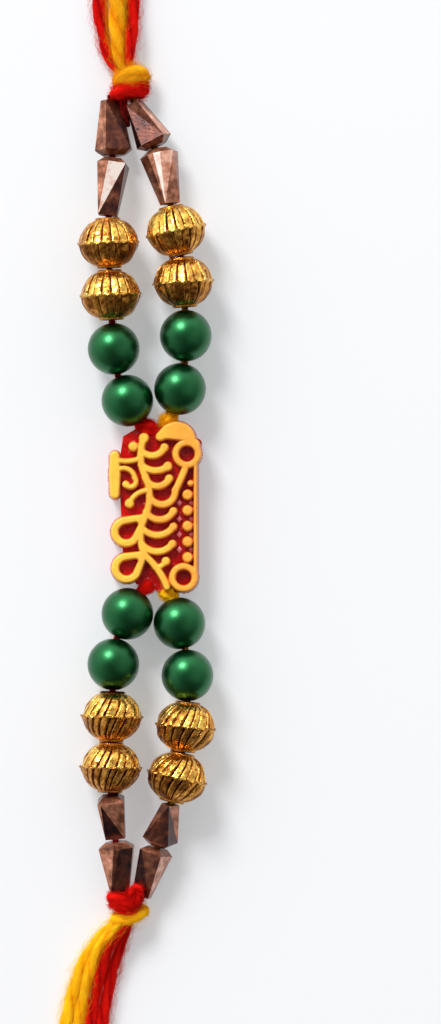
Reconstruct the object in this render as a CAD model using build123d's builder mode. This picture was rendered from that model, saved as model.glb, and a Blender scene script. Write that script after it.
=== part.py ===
from build123d import *
import math
import os
from collections import namedtuple

os.makedirs("parts", exist_ok=True)

# A rakhi thread bracelet, laid out straight. Lengths are in millimetres and angles in degrees.
# The origin is the middle of the motif's flat back, which lies on z = 0. +Y runs along the
# bracelet to its upper knot, and +Z points up from the surface that it lies on.

# Thread, and the holes that it runs through
thread_diameter = 0.8
bead_bore_diameter = 1.5
plate_bore_diameter = 1.5

# Round pearl beads
pearl_diameter = 7.9

# Fluted gold beads: two fluted cones that meet at a thin notched ridge, with a collar at each end
gold_diameter = 9.3
gold_length = 7.5
gold_collar_diameter = 3.9
gold_ridge_thickness = 0.5
gold_flute_depth = 0.42
gold_flute_count = 20

# Faceted bronze beads: long triangles between a wide bevelled end and a narrow end
bronze_length = 9.0
bronze_wide_diameter = 5.9
bronze_narrow_diameter = 3.2
bronze_bevel_height = 0.85
bronze_end_diameter = 3.5
bronze_side_count = 4
bronze_lift = 0.2

# Motif: a flat plate with ornament standing on it
motif_width = 14.2
motif_height = 26.2
plate_thickness = 4.2
relief_height = 1.4
plate_rim = 0.15
stem_width = 1.25
tendril_width = 1.0
ring_outer_diameter = 4.4
ring_hole_diameter = 2.2
pearl_dot_diameter = 1.76
pearl_dot_pitch = 2.38
pearl_dot_count = 5
border_bar_width = 0.64
plate_bore_height = 2.9
plate_mouth_diameter = 2.4
plate_mouth_depth = 1.5

# Knots: a wrap of red yarn and a wrap of yellow yarn at each end of the beads
knot_height = 4.4
red_wrap_width = 6.3
yellow_wrap_width = 5.8
top_red_wrap_length = 2.8
top_yellow_wrap_length = 2.1
bottom_red_wrap_length = 2.2
bottom_yellow_wrap_length = 1.8
wrap_rounding = 0.8
wrap_gap = 0.05
knot_gap = 0.5
thread_end_gap = 0.2
yarn_end_gap = 0.02

# Yarn
yarn_diameter = 1.8
yarn_pitch = 1.9

# Share of each run that the arc at one of its ends may use
arc_share = 0.45
thread_arc_share = 0.38

half_width = motif_width / 2
half_height = motif_height / 2


def motif_point(across, along):
    """A point of the motif, from shares of its half width and half height."""
    return (across * half_width, along * half_height)


# Outline of the plate behind the ornament, as shares of the motif's half width and half height
PlateCorner = namedtuple("PlateCorner", "across along")
plate_corners = [
    PlateCorner(-0.70, 0.82),
    PlateCorner(-0.42, 0.91),
    PlateCorner(0.02, 0.91),
    PlateCorner(0.20, 0.95),
    PlateCorner(0.80, 0.86),
    PlateCorner(0.91, 0.66),
    PlateCorner(0.91, -0.88),
    PlateCorner(0.62, -0.99),
    PlateCorner(0.05, -0.99),
    PlateCorner(-0.10, -0.92),
    PlateCorner(-0.42, -0.90),
    PlateCorner(-0.70, -0.60),
    PlateCorner(-0.76, 0.10),
    PlateCorner(-0.76, 0.60),
]

# Lengthwise holes through the plate, and where each comes out of its top and bottom edge
PlateBore = namedtuple("PlateBore", "across top bottom")
plate_bores = [
    PlateBore(-0.14, 0.915, -0.920),
    PlateBore(0.24, 0.992, -0.995),
]

# Curved strokes of the vine, each an arc through three points, with a bud of the given
# diameter at its last point (0 for none). Points are shares of the half width and half height.
Stroke = namedtuple("Stroke", "name start middle end width bud")
strokes = [
    Stroke("stem root", (0.24, -0.93), (0.06, -0.74), (-0.22, -0.57), stem_width, 0),
    Stroke("stem low", (-0.22, -0.57), (-0.32, -0.34), (-0.22, -0.11), stem_width, 0),
    Stroke("stem high", (-0.22, -0.11), (-0.13, 0.12), (-0.22, 0.35), stem_width, 0),
    Stroke("stem tip", (-0.22, 0.35), (-0.32, 0.57), (-0.25, 0.80), stem_width, 1.7),
    Stroke("right tendril 1", (-0.30, 0.65), (0.00, 0.60), (0.19, 0.69), stem_width, 1.45),
    Stroke("right tendril 2", (-0.31, 0.49), (0.02, 0.42), (0.26, 0.47), stem_width, 1.6),
    Stroke("right tendril 3", (-0.22, 0.33), (0.08, 0.24), (0.29, 0.33), stem_width, 1.4),
    Stroke("flourish low", (-0.13, 0.12), (0.20, 0.03), (0.42, 0.19), stem_width, 0),
    Stroke("flourish high", (0.42, 0.19), (0.52, 0.30), (0.64, 0.46), stem_width, 0),
    Stroke("right tendril 4", (-0.20, -0.06), (0.10, -0.15), (0.38, -0.05), stem_width, 1.4),
    Stroke("right tendril 5", (-0.30, -0.24), (0.04, -0.33), (0.38, -0.23), stem_width, 1.4),
    Stroke("right tendril 6", (-0.30, -0.43), (0.02, -0.52), (0.36, -0.43), stem_width, 1.4),
    Stroke("right bud", (-0.02, -0.70), (0.10, -0.69), (0.22, -0.63), tendril_width, 1.5),
    Stroke("left tendril 1", (-0.30, 0.57), (-0.58, 0.53), (-0.86, 0.55), tendril_width, 0),
    Stroke("left curl 1", (-0.84, 0.42), (-0.60, 0.44), (-0.45, 0.34), tendril_width, 0),
    Stroke("left curl 2", (-0.45, 0.34), (-0.48, 0.24), (-0.64, 0.26), tendril_width, 1.3),
    Stroke("left tendril 2", (-0.15, 0.19), (-0.40, 0.15), (-0.56, 0.04), tendril_width, 1.6),
]

# Teardrop leaves: a round belly drawn out to a tip, with a small teardrop left open in the belly
Leaf = namedtuple("Leaf", "name belly tip outer_diameter hole_diameter")
leaves = [
    Leaf("lower leaf", (-0.62, -0.71), (-0.24, -0.55), 4.6, 2.1),
    Leaf("upper leaf", (-0.63, -0.29), (-0.22, -0.12), 4.6, 2.1),
]
leaf_tip_diameter = 1.2
leaf_hole_tip_diameter = 0.5
leaf_hole_reach = 0.5

# Solid petal at the left edge, and the round bud above it
petal_middle = (-0.875, 0.37)
petal_reach = 2.9
petal_diameter = 1.75
petal_end_diameter = 1.1
side_bud = (-0.48, 0.70)
side_bud_diameter = 1.65

# Domed cap over the upper ring: corners and crown as shares of the half width and half height
cap_left = (0.02, 0.78)
cap_crown = (0.42, 1.00)
cap_right = (0.88, 0.74)
cap_under = (0.42, 0.83)
cap_corner_diameter = 1.2

upper_ring = (half_width - plate_rim - ring_outer_diameter / 2, 0.615 * half_height)
lower_ring = (half_width - plate_rim - ring_outer_diameter / 2 - 0.5, -half_height + plate_rim
              + ring_outer_diameter / 2)
border_bar_x = 0.80 * half_width
pearl_dot_x = border_bar_x + 0.06 - pearl_dot_diameter / 2
first_dot_y = 0.14 * half_height
small_dot = (pearl_dot_x + 0.45, first_dot_y + 1.75)
small_dot_diameter = 1.15


def add_stroke(stroke, growth=0):
    """One curved stroke, with the bud at its end."""
    with BuildLine(mode=Mode.PRIVATE) as middle_line:
        ThreePointArc(motif_point(*stroke.start), motif_point(*stroke.middle),
                      motif_point(*stroke.end))
    SlotArc(arc=middle_line.edges()[0], height=stroke.width + 2 * growth)
    if stroke.bud:
        with Locations(motif_point(*stroke.end)):
            Circle(stroke.bud / 2 + growth)


def add_leaf(leaf, growth=0, with_hole=True):
    """One teardrop leaf."""
    belly = Vector(*motif_point(*leaf.belly))
    tip = Vector(*motif_point(*leaf.tip))
    hole_tip = belly + (tip - belly) * leaf_hole_reach
    with BuildSketch(mode=Mode.PRIVATE) as blade:
        with Locations(belly):
            Circle(leaf.outer_diameter / 2 + growth)
        with Locations(tip):
            Circle(leaf_tip_diameter / 2 + growth)
        make_hull()
    add(blade.sketch)
    if with_hole:
        with BuildSketch(mode=Mode.PRIVATE) as hole:
            with Locations(belly):
                Circle(leaf.hole_diameter / 2)
            with Locations(hole_tip):
                Circle(leaf_hole_tip_diameter / 2)
            make_hull()
        add(hole.sketch, mode=Mode.SUBTRACT)


def add_petal(growth=0):
    """The solid petal at the left edge."""
    middle = Vector(*motif_point(*petal_middle))
    reach = Vector(0, petal_reach)
    with BuildSketch(mode=Mode.PRIVATE) as petal:
        with Locations(middle):
            Circle(petal_diameter / 2 + growth)
        with Locations(middle + reach, middle - reach):
            Circle(petal_end_diameter / 2 + growth)
        make_hull()
    add(petal.sketch)


def add_cap(growth=0):
    """The domed cap over the upper ring."""
    left, crown, right, under = (motif_point(*point) for point in
                                 (cap_left, cap_crown, cap_right, cap_under))
    with BuildLine(mode=Mode.PRIVATE) as outline:
        ThreePointArc(left, (crown[0], crown[1] - plate_rim + growth), right)
        ThreePointArc(right, under, left)
    make_face(outline.edges())
    with Locations(left, right):
        Circle(cap_corner_diameter / 2 + growth)


# The red plate
with BuildPart() as motif_ground:
    with BuildSketch():
        with BuildLine():
            Polyline(*[motif_point(*corner) for corner in plate_corners], close=True)
        make_face()
        for leaf in leaves:
            add_leaf(leaf, plate_rim, with_hole=False)
        add_petal(plate_rim)
        add_cap(plate_rim)
        with Locations(upper_ring, lower_ring):
            Circle(ring_outer_diameter / 2 + plate_rim)
        with Locations(motif_point(*side_bud)):
            Circle(side_bud_diameter / 2 + plate_rim)
    extrude(amount=plate_thickness)
    for bore in plate_bores:
        bore_x = bore.across * half_width
        with Locations(Location((bore_x, 0, plate_bore_height), (90, 0, 0))):
            Cylinder(plate_bore_diameter / 2, 2 * motif_height, mode=Mode.SUBTRACT)
        for mouth, turn in ((bore.top, 90), (bore.bottom, -90)):
            inside = mouth * half_height - math.copysign(plate_mouth_depth / 2, mouth)
            with Locations(Location((bore_x, inside, plate_bore_height), (turn, 0, 0))):
                Cone(plate_mouth_diameter / 2, plate_bore_diameter / 2, plate_mouth_depth,
                     mode=Mode.SUBTRACT)
motif_ground.part.label = "motif_ground"
export_step(motif_ground.part, "parts/motif_ground.step")

# The raised yellow ornament, standing on the plate
with BuildPart() as motif_relief:
    with BuildSketch(Plane.XY.offset(plate_thickness)):
        add_cap()
        with Locations(upper_ring, lower_ring):
            Circle(ring_outer_diameter / 2)
        bar_low, bar_high = lower_ring[1], upper_ring[1]
        with Locations((border_bar_x + border_bar_width / 2, (bar_low + bar_high) / 2)):
            Rectangle(border_bar_width, bar_high - bar_low)
        dot_places = [(pearl_dot_x, first_dot_y - i * pearl_dot_pitch) for i in range(pearl_dot_count)]
        with Locations(*dot_places):
            Circle(pearl_dot_diameter / 2)
        with Locations(small_dot):
            Circle(small_dot_diameter / 2)
        for stroke in strokes:
            add_stroke(stroke)
        add_petal()
        with Locations(motif_point(*side_bud)):
            Circle(side_bud_diameter / 2)
        for leaf in leaves:
            add_leaf(leaf)
        with Locations(upper_ring, lower_ring):
            Circle(ring_hole_diameter / 2, mode=Mode.SUBTRACT)
    extrude(amount=relief_height)
motif_relief.part.label = "motif_relief"
export_step(motif_relief.part, "parts/motif_relief.step")


def turned(plane, angle):
    """The same plane, turned about its normal."""
    spun = plane.x_dir.rotate(Axis((0, 0, 0), plane.z_dir), angle)
    return Plane(plane.origin, x_dir=spun, z_dir=plane.z_dir)


def pearl_bead(name, entry, share, roll, narrow_end_out):
    """A round bead on the plane of its entry hole."""
    with BuildPart() as bead:
        with Locations(entry.offset(pearl_diameter / 2)):
            Sphere(pearl_diameter / 2)
            Cylinder(bead_bore_diameter / 2, pearl_diameter, mode=Mode.SUBTRACT)
    bead.part.label = name
    export_step(bead.part, f"parts/{name}.step")


# Half of a gold bead, from its ridge to its collar. height is a share of half the bead's length,
# radius of the bead's radius, and flute of the flute depth.
FluteSection = namedtuple("FluteSection", "height radius flute")
flute_sections = [
    FluteSection(0.00, 0.97, 1.0),
    FluteSection(0.36, 0.90, 1.0),
    FluteSection(0.68, 0.71, 0.9),
    FluteSection(0.90, 0.47, 0.5),
]
gold_collar_start = 0.80


def star_points(outer_radius, flute_depth, phase):
    """Corners of a fluted section: rib, flute, rib, flute."""
    step = math.pi / gold_flute_count
    radii = (outer_radius, outer_radius - flute_depth)
    return [(radii[i % 2] * math.cos(phase + i * step), radii[i % 2] * math.sin(phase + i * step))
            for i in range(2 * gold_flute_count)]


def gold_bead(name, entry, share, roll, narrow_end_out):
    """A fluted bead: the ribs of one half stand at the flutes of the other."""
    radius = gold_diameter / 2
    half_length = gold_length / 2
    middle = turned(entry.offset(half_length), roll)
    half_step = math.pi / gold_flute_count
    with BuildPart() as bead:
        for side, phase in ((1, 0), (-1, half_step)):
            for section in flute_sections:
                with BuildSketch(middle.offset(side * section.height * half_length)):
                    Polygon(*star_points(section.radius * radius,
                                         section.flute * gold_flute_depth, phase), align=None)
            loft(ruled=True)
            collar_length = (1 - gold_collar_start) * half_length
            collar_middle = side * (half_length - collar_length / 2)
            with Locations(middle.offset(collar_middle)):
                Cylinder(gold_collar_diameter / 2, collar_length)
        with BuildSketch(middle):
            Polygon(*star_points(radius, gold_flute_depth / 2, half_step), align=None)
        extrude(amount=gold_ridge_thickness / 2, both=True)
        with Locations(middle):
            Cylinder(bead_bore_diameter / 2, 2 * gold_length, mode=Mode.SUBTRACT)
    bead.part.label = name
    export_step(bead.part, f"parts/{name}.step")


def bronze_bead(name, entry, share, roll, narrow_end_out):
    """A faceted bead. One ring of triangles stands on the wide end's edges and points to the
    narrow end's corners, and the other stands the opposite way round between them."""
    length = share * bronze_length
    wide = bronze_wide_diameter / 2
    narrow = bronze_narrow_diameter / 2
    to_edge = math.cos(math.pi / bronze_side_count)
    bevel_start = length - bronze_bevel_height
    if narrow_end_out:
        end = entry.offset(length)
        narrow_plane = turned(Plane(end.origin, x_dir=end.x_dir, z_dir=-end.z_dir), roll)
    else:
        narrow_plane = turned(entry, roll)
    turn = 360 / bronze_side_count
    # Each facet is cut by a plane through two points, given as (radius, height) on its middle line
    facets = []
    for i in range(bronze_side_count):
        facets.append((i * turn, (narrow * to_edge, 0), (wide, bevel_start)))
        facets.append(((i + 0.5) * turn, (narrow, 0), (wide * to_edge, bevel_start)))
        facets.append(((i + 0.5) * turn, (wide * to_edge, bevel_start),
                       (bronze_end_diameter / 2 * to_edge, length)))
    with BuildPart() as bead:
        with BuildSketch(narrow_plane):
            Circle(wide)
        extrude(amount=length)
        for angle, low, high in facets:
            radial = turned(narrow_plane, angle)
            outward = (radial.x_dir * (high[1] - low[1]) - radial.z_dir * (high[0] - low[0]))
            split(bisect_by=Plane(radial.from_local_coords((low[0], 0, low[1])), z_dir=outward),
                  keep=Keep.BOTTOM)
        with BuildSketch(narrow_plane):
            Circle(bead_bore_diameter / 2)
        extrude(amount=length, mode=Mode.SUBTRACT)
    bead.part.label = name
    export_step(bead.part, f"parts/{name}.step")


bead_makers = {"pearl": pearl_bead, "gold_bead": gold_bead, "bronze_bead": bronze_bead}
bead_lengths = {"pearl": pearl_diameter, "gold_bead": gold_length, "bronze_bead": bronze_length}
rest_heights = {"pearl": pearl_diameter / 2, "gold_bead": gold_diameter / 2,
                "bronze_bead": bronze_wide_diameter / 2 + bronze_lift}

# The four half strings, from the motif outward. start is where the first bead's hole begins, as
# shares of the motif's half width and half height. For each bead: the heading of its hole in
# plan, from the bracelet's long axis towards +X; the slack on its thread; the share of its
# kind's length; its turn about the thread; and whether a bronze bead's narrow end points away
# from the motif.
HalfString = namedtuple("HalfString", "end side start beads")
StringBead = namedtuple("StringBead", "kind place heading slack share roll narrow_end_out")
half_strings = [
    HalfString("top", "left", (-0.355, 0.955), [
        StringBead("pearl", "inner", -26, 0.3, 1, 0, False),
        StringBead("pearl", "outer", -4, 0.5, 1, 0, False),
        StringBead("gold_bead", "inner", -2.5, 0.55, 1, 0, False),
        StringBead("gold_bead", "outer", -2, 0.25, 1, 4, False),
        StringBead("bronze_bead", "inner", 6, 0.55, 0.98, 35, False),
        StringBead("bronze_bead", "outer", -3.5, 0.45, 0.95, 37, True),
    ]),
    HalfString("top", "right", (0.380, 1.070), [
        StringBead("pearl", "inner", 14, 0.25, 1, 0, False),
        StringBead("pearl", "outer", -1.5, 0.4, 1, 0, False),
        StringBead("gold_bead", "inner", -4, 0.5, 1, 7, False),
        StringBead("gold_bead", "outer", -12, 0.35, 1, 2, False),
        StringBead("bronze_bead", "inner", -13, 0.55, 0.95, 5, False),
        StringBead("bronze_bead", "outer", -27, 0.6, 0.84, 13, True),
    ]),
    HalfString("bottom", "left", (-0.322, -0.967), [
        StringBead("pearl", "inner", -29.5, 0.35, 1, 0, False),
        StringBead("pearl", "outer", -1.5, 0.3, 1, 0, False),
        StringBead("gold_bead", "inner", -1.5, 0.2, 1, 5, False),
        StringBead("gold_bead", "outer", -1.5, 0.3, 1, 1, False),
        StringBead("bronze_bead", "inner", 7, 0.65, 0.76, 45, True),
        StringBead("bronze_bead", "outer", 4.5, 0.35, 0.89, 26, True),
    ]),
    HalfString("bottom", "right", (0.348, -1.053), [
        StringBead("pearl", "inner", 16, 0.25, 1, 0, False),
        StringBead("pearl", "outer", 1.5, 0.1, 1, 0, False),
        StringBead("gold_bead", "inner", -6, 0.2, 1, 3, False),
        StringBead("gold_bead", "outer", -13, 0.45, 1, 8, False),
        StringBead("bronze_bead", "inner", -16.5, 0.45, 0.74, 24, False),
        StringBead("bronze_bead", "outer", -18.5, 0.35, 0.87, 31, True),
    ]),
]

# The first pearls lie with their holes a little lower at the motif, where the threads come out
first_hole_drop = 0.2


def lay_string(half_string):
    """Place the beads of a half string and return the points that its thread runs through."""
    outward = 1 if half_string.end == "top" else -1
    bore = plate_bores[0 if half_string.side == "left" else 1]
    mouth_along = bore.top if half_string.end == "top" else bore.bottom
    mouth = Vector(bore.across * half_width, mouth_along * half_height, plate_bore_height)
    beads = half_string.beads
    heights = [max(rest_heights[a.kind], rest_heights[b.kind]) for a, b in zip(beads, beads[1:])]
    heights[0] += first_hole_drop
    heights.append(knot_height / 2)
    point = Vector(*motif_point(*half_string.start)) + Vector(
        0, 0, rest_heights[beads[0].kind] - first_hole_drop)
    points = [mouth, point]
    for bead, next_height in zip(beads, heights):
        reach = bead_lengths[bead.kind] * bead.share + bead.slack
        rise = next_height - point.Z
        plan = math.sqrt(reach ** 2 - rise ** 2)
        heading = math.radians(bead.heading)
        step = Vector(plan * math.sin(heading), outward * plan * math.cos(heading), rise)
        direction = step.normalized()
        entry = Plane(point + direction * (bead.slack / 2), x_dir=(outward, 0, 0), z_dir=direction)
        name = f"{bead.kind}_{half_string.end}_{half_string.side}_{bead.place}"
        bead_makers[bead.kind](name, entry, bead.share, bead.roll, bead.narrow_end_out)
        point = point + step
        points.append(point)
    return points


string_points = {(s.end, s.side): lay_string(s) for s in half_strings}


def arc_radii(points, share):
    """The arc at each inner point that uses the given share of its shorter run."""
    radii = []
    for before, here, after in zip(points, points[1:], points[2:]):
        turn = math.radians((here - before).get_angle(after - here))
        shorter = min((here - before).length, (after - here).length)
        radii.append(share * shorter / math.tan(turn / 2))
    return radii


def bending_points(points):
    """The points without those at which the line runs straight on."""
    kept = [points[0]]
    for here, after in zip(points[1:], points[2:]):
        if (here - kept[-1]).get_angle(after - here) > 0.3:
            kept.append(here)
    return kept + [points[-1]]


def round_tube(name, points, diameter, share=arc_share):
    """A tube of straight runs and tangent arcs."""
    radii = arc_radii(points, share)
    with BuildPart() as tube:
        with BuildLine() as path:
            FilletPolyline(*points, radius=radii)
        start = Plane(path.wire() @ 0, z_dir=path.wire() % 0)
        with BuildSketch(start):
            Circle(diameter / 2)
        sweep()
    length = path.wire().length
    expected = math.pi * diameter ** 2 / 4 * length
    print(f"{name}: length {length:.1f}, smallest radius {min(radii):.2f}, "
          f"volume share {tube.part.volume / expected:.4f}")
    tube.part.label = name
    export_step(tube.part, f"parts/{name}.step")


# Knots. Each is a wrap of red yarn against the beads and a wrap of yellow yarn behind it.
Knot = namedtuple("Knot", "end shift red_length yellow_length bundle_shift")
knots = [
    Knot("top", 1.25, top_red_wrap_length, top_yellow_wrap_length, -0.65),
    Knot("bottom", -0.7, bottom_red_wrap_length, bottom_yellow_wrap_length, -0.8),
]


def yarn_wrap(name, middle_x, start_y, outward, width, length):
    """A short oval pad of wound yarn with rounded rims, lying on the surface."""
    with BuildPart() as wrap:
        with BuildSketch(Plane((middle_x, start_y, knot_height / 2), x_dir=(1, 0, 0),
                               z_dir=(0, outward, 0))):
            Ellipse(width / 2, knot_height / 2)
        extrude(amount=length)
        fillet(wrap.edges().filter_by(GeomType.LINE, reverse=True), radius=wrap_rounding)
    wrap.part.label = name
    export_step(wrap.part, f"parts/{name}.step")


thread_end_y = {}
bundle_places = {}
for knot in knots:
    outward = 1 if knot.end == "top" else -1
    left_end = string_points[knot.end, "left"][-1]
    right_end = string_points[knot.end, "right"][-1]
    middle_x = (left_end.X + right_end.X) / 2 + knot.shift
    red_start = outward * (max(outward * left_end.Y, outward * right_end.Y) + knot_gap)
    yellow_start = red_start + outward * (knot.red_length + wrap_gap)
    yarn_wrap(f"{knot.end}_knot_red", middle_x, red_start, outward, red_wrap_width, knot.red_length)
    yarn_wrap(f"{knot.end}_knot_yellow", middle_x, yellow_start, outward, yellow_wrap_width,
              knot.yellow_length)
    thread_end_y[knot.end] = red_start - outward * thread_end_gap
    bundle_places[knot.end] = Vector(middle_x + knot.bundle_shift,
                                     yellow_start + outward * (knot.yellow_length + yarn_end_gap),
                                     knot_height / 2)

# The two threads, each from knot to knot through twelve beads and the motif. At each end a thread
# runs straight on from the outer bead's hole to the knot.
for side in ("left", "right"):
    points = []
    for end in ("top", "bottom"):
        half = string_points[end, side]
        last_step = half[-1] - half[-2]
        thread_end = half[-1] + last_step * ((thread_end_y[end] - half[-1].Y) / last_step.Y)
        half = half[:-1] + [thread_end]
        points += reversed(half) if end == "top" else half
    round_tube(f"thread_{side}", bending_points(points), thread_diameter, thread_arc_share)

# The free ends of the yarn. column and row say where a strand lies in the bundle of four at
# the knot, which it leaves straight for exit_run, and its points after that are chosen to
# follow its lay on the surface.
exit_run = 1.15
YarnEnd = namedtuple("YarnEnd", "end name column row points")
yarn_ends = [
    YarnEnd("top", "red_left", -1, -1, [
        (-6.3, 70.4, 1.1), (-7.4, 72.7, 1.0), (-8.2, 75.7, 0.95), (-8.4, 80.0, 0.95),
        (-8.0, 88.0, 0.95), (-8.1, 98.0, 0.95), (-8.7, 110.0, 0.95), (-8.3, 124.0, 0.95),
        (-9.0, 139.4, 0.95)]),
    YarnEnd("top", "yellow_upper", -1, 1, [
        (-5.8, 70.4, 3.05), (-6.0, 72.7, 2.9), (-6.15, 75.7, 2.85), (-6.2, 80.5, 2.75),
        (-6.0, 88.0, 1.6), (-6.1, 96.0, 0.95), (-6.7, 110.0, 0.95), (-6.3, 124.0, 0.95),
        (-6.8, 139.4, 0.95)]),
    YarnEnd("top", "yellow_lower", 1, -1, [
        (-4.2, 70.4, 1.1), (-5.0, 72.7, 1.0), (-5.55, 75.7, 0.95), (-5.3, 80.5, 0.95),
        (-4.1, 88.0, 0.95), (-3.9, 98.0, 0.95), (-4.6, 110.0, 0.95), (-4.2, 124.0, 0.95),
        (-4.5, 139.4, 0.95)]),
    YarnEnd("top", "red_right", 1, 1, [
        (-3.65, 70.4, 3.0), (-3.4, 72.7, 2.5), (-3.45, 75.7, 1.3), (-3.3, 80.0, 0.95),
        (-2.1, 88.0, 0.95), (-1.8, 98.0, 0.95), (-2.5, 110.0, 0.95), (-2.1, 124.0, 0.95),
        (-2.2, 139.4, 0.95)]),
    YarnEnd("bottom", "yellow_left", -1, -1, [
        (-6.85, -66.3, 1.15), (-8.1, -68.0, 1.0), (-9.8, -70.2, 0.95), (-11.9, -73.6, 0.95),
        (-13.5, -78.5, 0.95), (-14.3, -85.5, 0.95), (-13.5, -95.0, 0.95), (-11.3, -107.0, 0.95),
        (-10.5, -118.0, 0.95), (-10.9, -129.0, 0.95), (-10.2, -139.3, 0.95)]),
    YarnEnd("bottom", "yellow_right", -1, 1, [
        (-6.45, -66.3, 3.1), (-7.35, -68.3, 2.95), (-8.65, -70.6, 2.65), (-10.2, -74.2, 1.8),
        (-11.45, -78.8, 0.95), (-12.35, -85.5, 0.95), (-11.6, -95.0, 0.95), (-9.3, -107.0, 0.95),
        (-8.5, -118.0, 0.95), (-8.9, -129.0, 0.95), (-8.1, -139.3, 0.95)]),
    YarnEnd("bottom", "red_left", 1, 1, [
        (-4.5, -66.5, 3.15), (-5.3, -68.7, 3.1), (-6.6, -71.4, 3.0), (-8.1, -75.0, 2.75),
        (-9.5, -79.4, 1.95), (-10.3, -85.8, 0.95), (-9.6, -95.0, 0.95), (-7.3, -107.0, 0.95),
        (-6.5, -118.0, 0.95), (-6.8, -129.0, 0.95), (-5.9, -139.3, 0.95)]),
    YarnEnd("bottom", "red_right", 1, -1, [
        (-4.6, -66.5, 1.1), (-5.3, -68.7, 1.0), (-6.3, -71.4, 0.95), (-7.2, -75.0, 0.95),
        (-7.8, -79.4, 0.95), (-8.25, -85.8, 0.95), (-7.5, -95.0, 0.95), (-5.2, -107.0, 0.95),
        (-4.2, -118.0, 0.95), (-4.6, -129.0, 0.95), (-3.7, -139.3, 0.95)]),
]
for yarn in yarn_ends:
    outward = 1 if yarn.end == "top" else -1
    bundle_offset = Vector(yarn.column * yarn_pitch / 2, 0, yarn.row * yarn_pitch / 2)
    start = bundle_places[yarn.end] + bundle_offset
    straight_end = start + Vector(0, outward * exit_run, 0)
    print(f"{yarn.end}_yarn_{yarn.name} starts at ({start.X:.2f}, {start.Y:.2f}, {start.Z:.2f})")
    route = [start, straight_end] + [Vector(*point) for point in yarn.points]
    round_tube(f"{yarn.end}_yarn_{yarn.name}", route, yarn_diameter)
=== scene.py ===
import math

import bmesh
import bpy
import numpy as np
from mathutils import Matrix, Vector, noise


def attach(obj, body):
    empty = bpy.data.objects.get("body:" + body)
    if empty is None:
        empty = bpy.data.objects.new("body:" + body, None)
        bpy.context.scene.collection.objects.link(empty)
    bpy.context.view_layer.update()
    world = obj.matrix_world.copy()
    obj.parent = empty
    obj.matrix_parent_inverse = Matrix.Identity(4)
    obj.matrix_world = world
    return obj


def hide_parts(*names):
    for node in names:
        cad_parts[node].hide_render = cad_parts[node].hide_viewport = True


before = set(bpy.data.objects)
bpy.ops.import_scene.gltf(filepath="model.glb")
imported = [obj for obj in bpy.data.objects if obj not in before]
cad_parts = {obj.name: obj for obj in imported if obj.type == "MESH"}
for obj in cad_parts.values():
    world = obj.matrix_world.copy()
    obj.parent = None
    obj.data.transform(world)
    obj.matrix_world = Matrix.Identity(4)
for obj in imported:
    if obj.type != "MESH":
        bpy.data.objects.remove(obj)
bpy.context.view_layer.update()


# Camera. The bracelet lies on a table and is photographed from straight above with a long lens.
# The photograph shows 67 by 156 mm of the table, with the motif left of its middle.
photo_centre = Vector((9.85, -0.76, 3.0))
photo_length = 155.9
camera_distance = 1600.0
camera_data = bpy.data.cameras.new("camera")
camera_data.sensor_width = 36.0
camera_data.lens = camera_data.sensor_width * camera_distance / photo_length
camera_data.clip_start = 0.1
camera_data.clip_end = 10.0
camera = bpy.data.objects.new("camera", camera_data)
camera.location = (photo_centre + Vector((0, 0, camera_distance))) / 1000
bpy.context.scene.collection.objects.link(camera)
bpy.context.scene.camera = camera


# Loose yarn ends. Each is a soft cotton yarn of loosely twisted plies, brushed to a fuzz.
# Two red and two yellow ends leave each knot and lie side by side on the table.
yarn_rings_per_mm = 3.5
yarn_sides = 32
yarn_groove_depth = 0.286
yarn_plies = {"red": 3, "yellow": 2}
end_twist_lengths = {"red": 7.5, "yellow": 5.6}
end_fibres_per_mm = 46
red_yarn_colours = {"shade": "560003", "deep": "a80204", "main": "dd0603", "light": "f41c0c"}
yellow_yarn_colours = {"shade": "cc5c02", "deep": "fc9004", "main": "ffac08", "light": "ffc622"}
# Near black, for shade painted on yarn in the gaps between the beads and where a knot's turn hangs between
# them
painted_shade_colour = "1c0805"


def linear(hex_colour):
    """An sRGB hex colour as linear red, green, blue and full alpha."""
    values = [int(hex_colour[i:i + 2], 16) / 255 for i in (0, 2, 4)]
    return tuple(v / 12.92 if v <= 0.04045 else ((v + 0.055) / 1.055) ** 2.4 for v in values) + (1.0,)


def set_stops(ramp, stops):
    """Give a colour ramp its stops, each a position and an sRGB hex colour."""
    (first, first_colour), *between, (last, last_colour) = sorted(stops.items())
    ramp.elements[0].position = first
    ramp.elements[0].color = linear(first_colour)
    ramp.elements[1].position = last
    ramp.elements[1].color = linear(last_colour)
    for position, colour in between:
        ramp.elements.new(position).color = linear(colour)


def add_node(owner, kind, settings, links=()):
    """Add a node to a material or world, with its settings and links from outputs of earlier nodes."""
    tree = owner.node_tree
    node = tree.nodes.new(kind)
    for name, value in settings.items():
        if name == "stops":
            set_stops(node.color_ramp, value)
        elif isinstance(name, int) or name in node.inputs:
            node.inputs[name].default_value = value
        else:
            setattr(node, name, value)
    for name, (earlier, output) in dict(links).items():
        tree.links.new(earlier.outputs[output], node.inputs[name])
    return node


def new_material(name):
    """A material with no nodes yet."""
    material = bpy.data.materials.new(name)
    material.use_nodes = True
    material.node_tree.nodes.clear()
    return material


def lemon_at_near_end(material, colour):
    """The yellow dye is paler, nearer to lemon, at the lower knot than at the upper one."""
    place = add_node(material, "ShaderNodeTexCoord", {})
    along = add_node(material, "ShaderNodeSeparateXYZ", {}, {"Vector": (place, "Object")})
    share = add_node(material, "ShaderNodeMapRange", {"From Min": 0.03, "From Max": -0.05},
                     {"Value": (along, "Y")})
    paler = add_node(material, "ShaderNodeHueSaturation", {"Hue": 0.517, "Value": 1.14},
                     {"Fac": (share, "Result"), "Color": colour})
    return paler, "Color"


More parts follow.
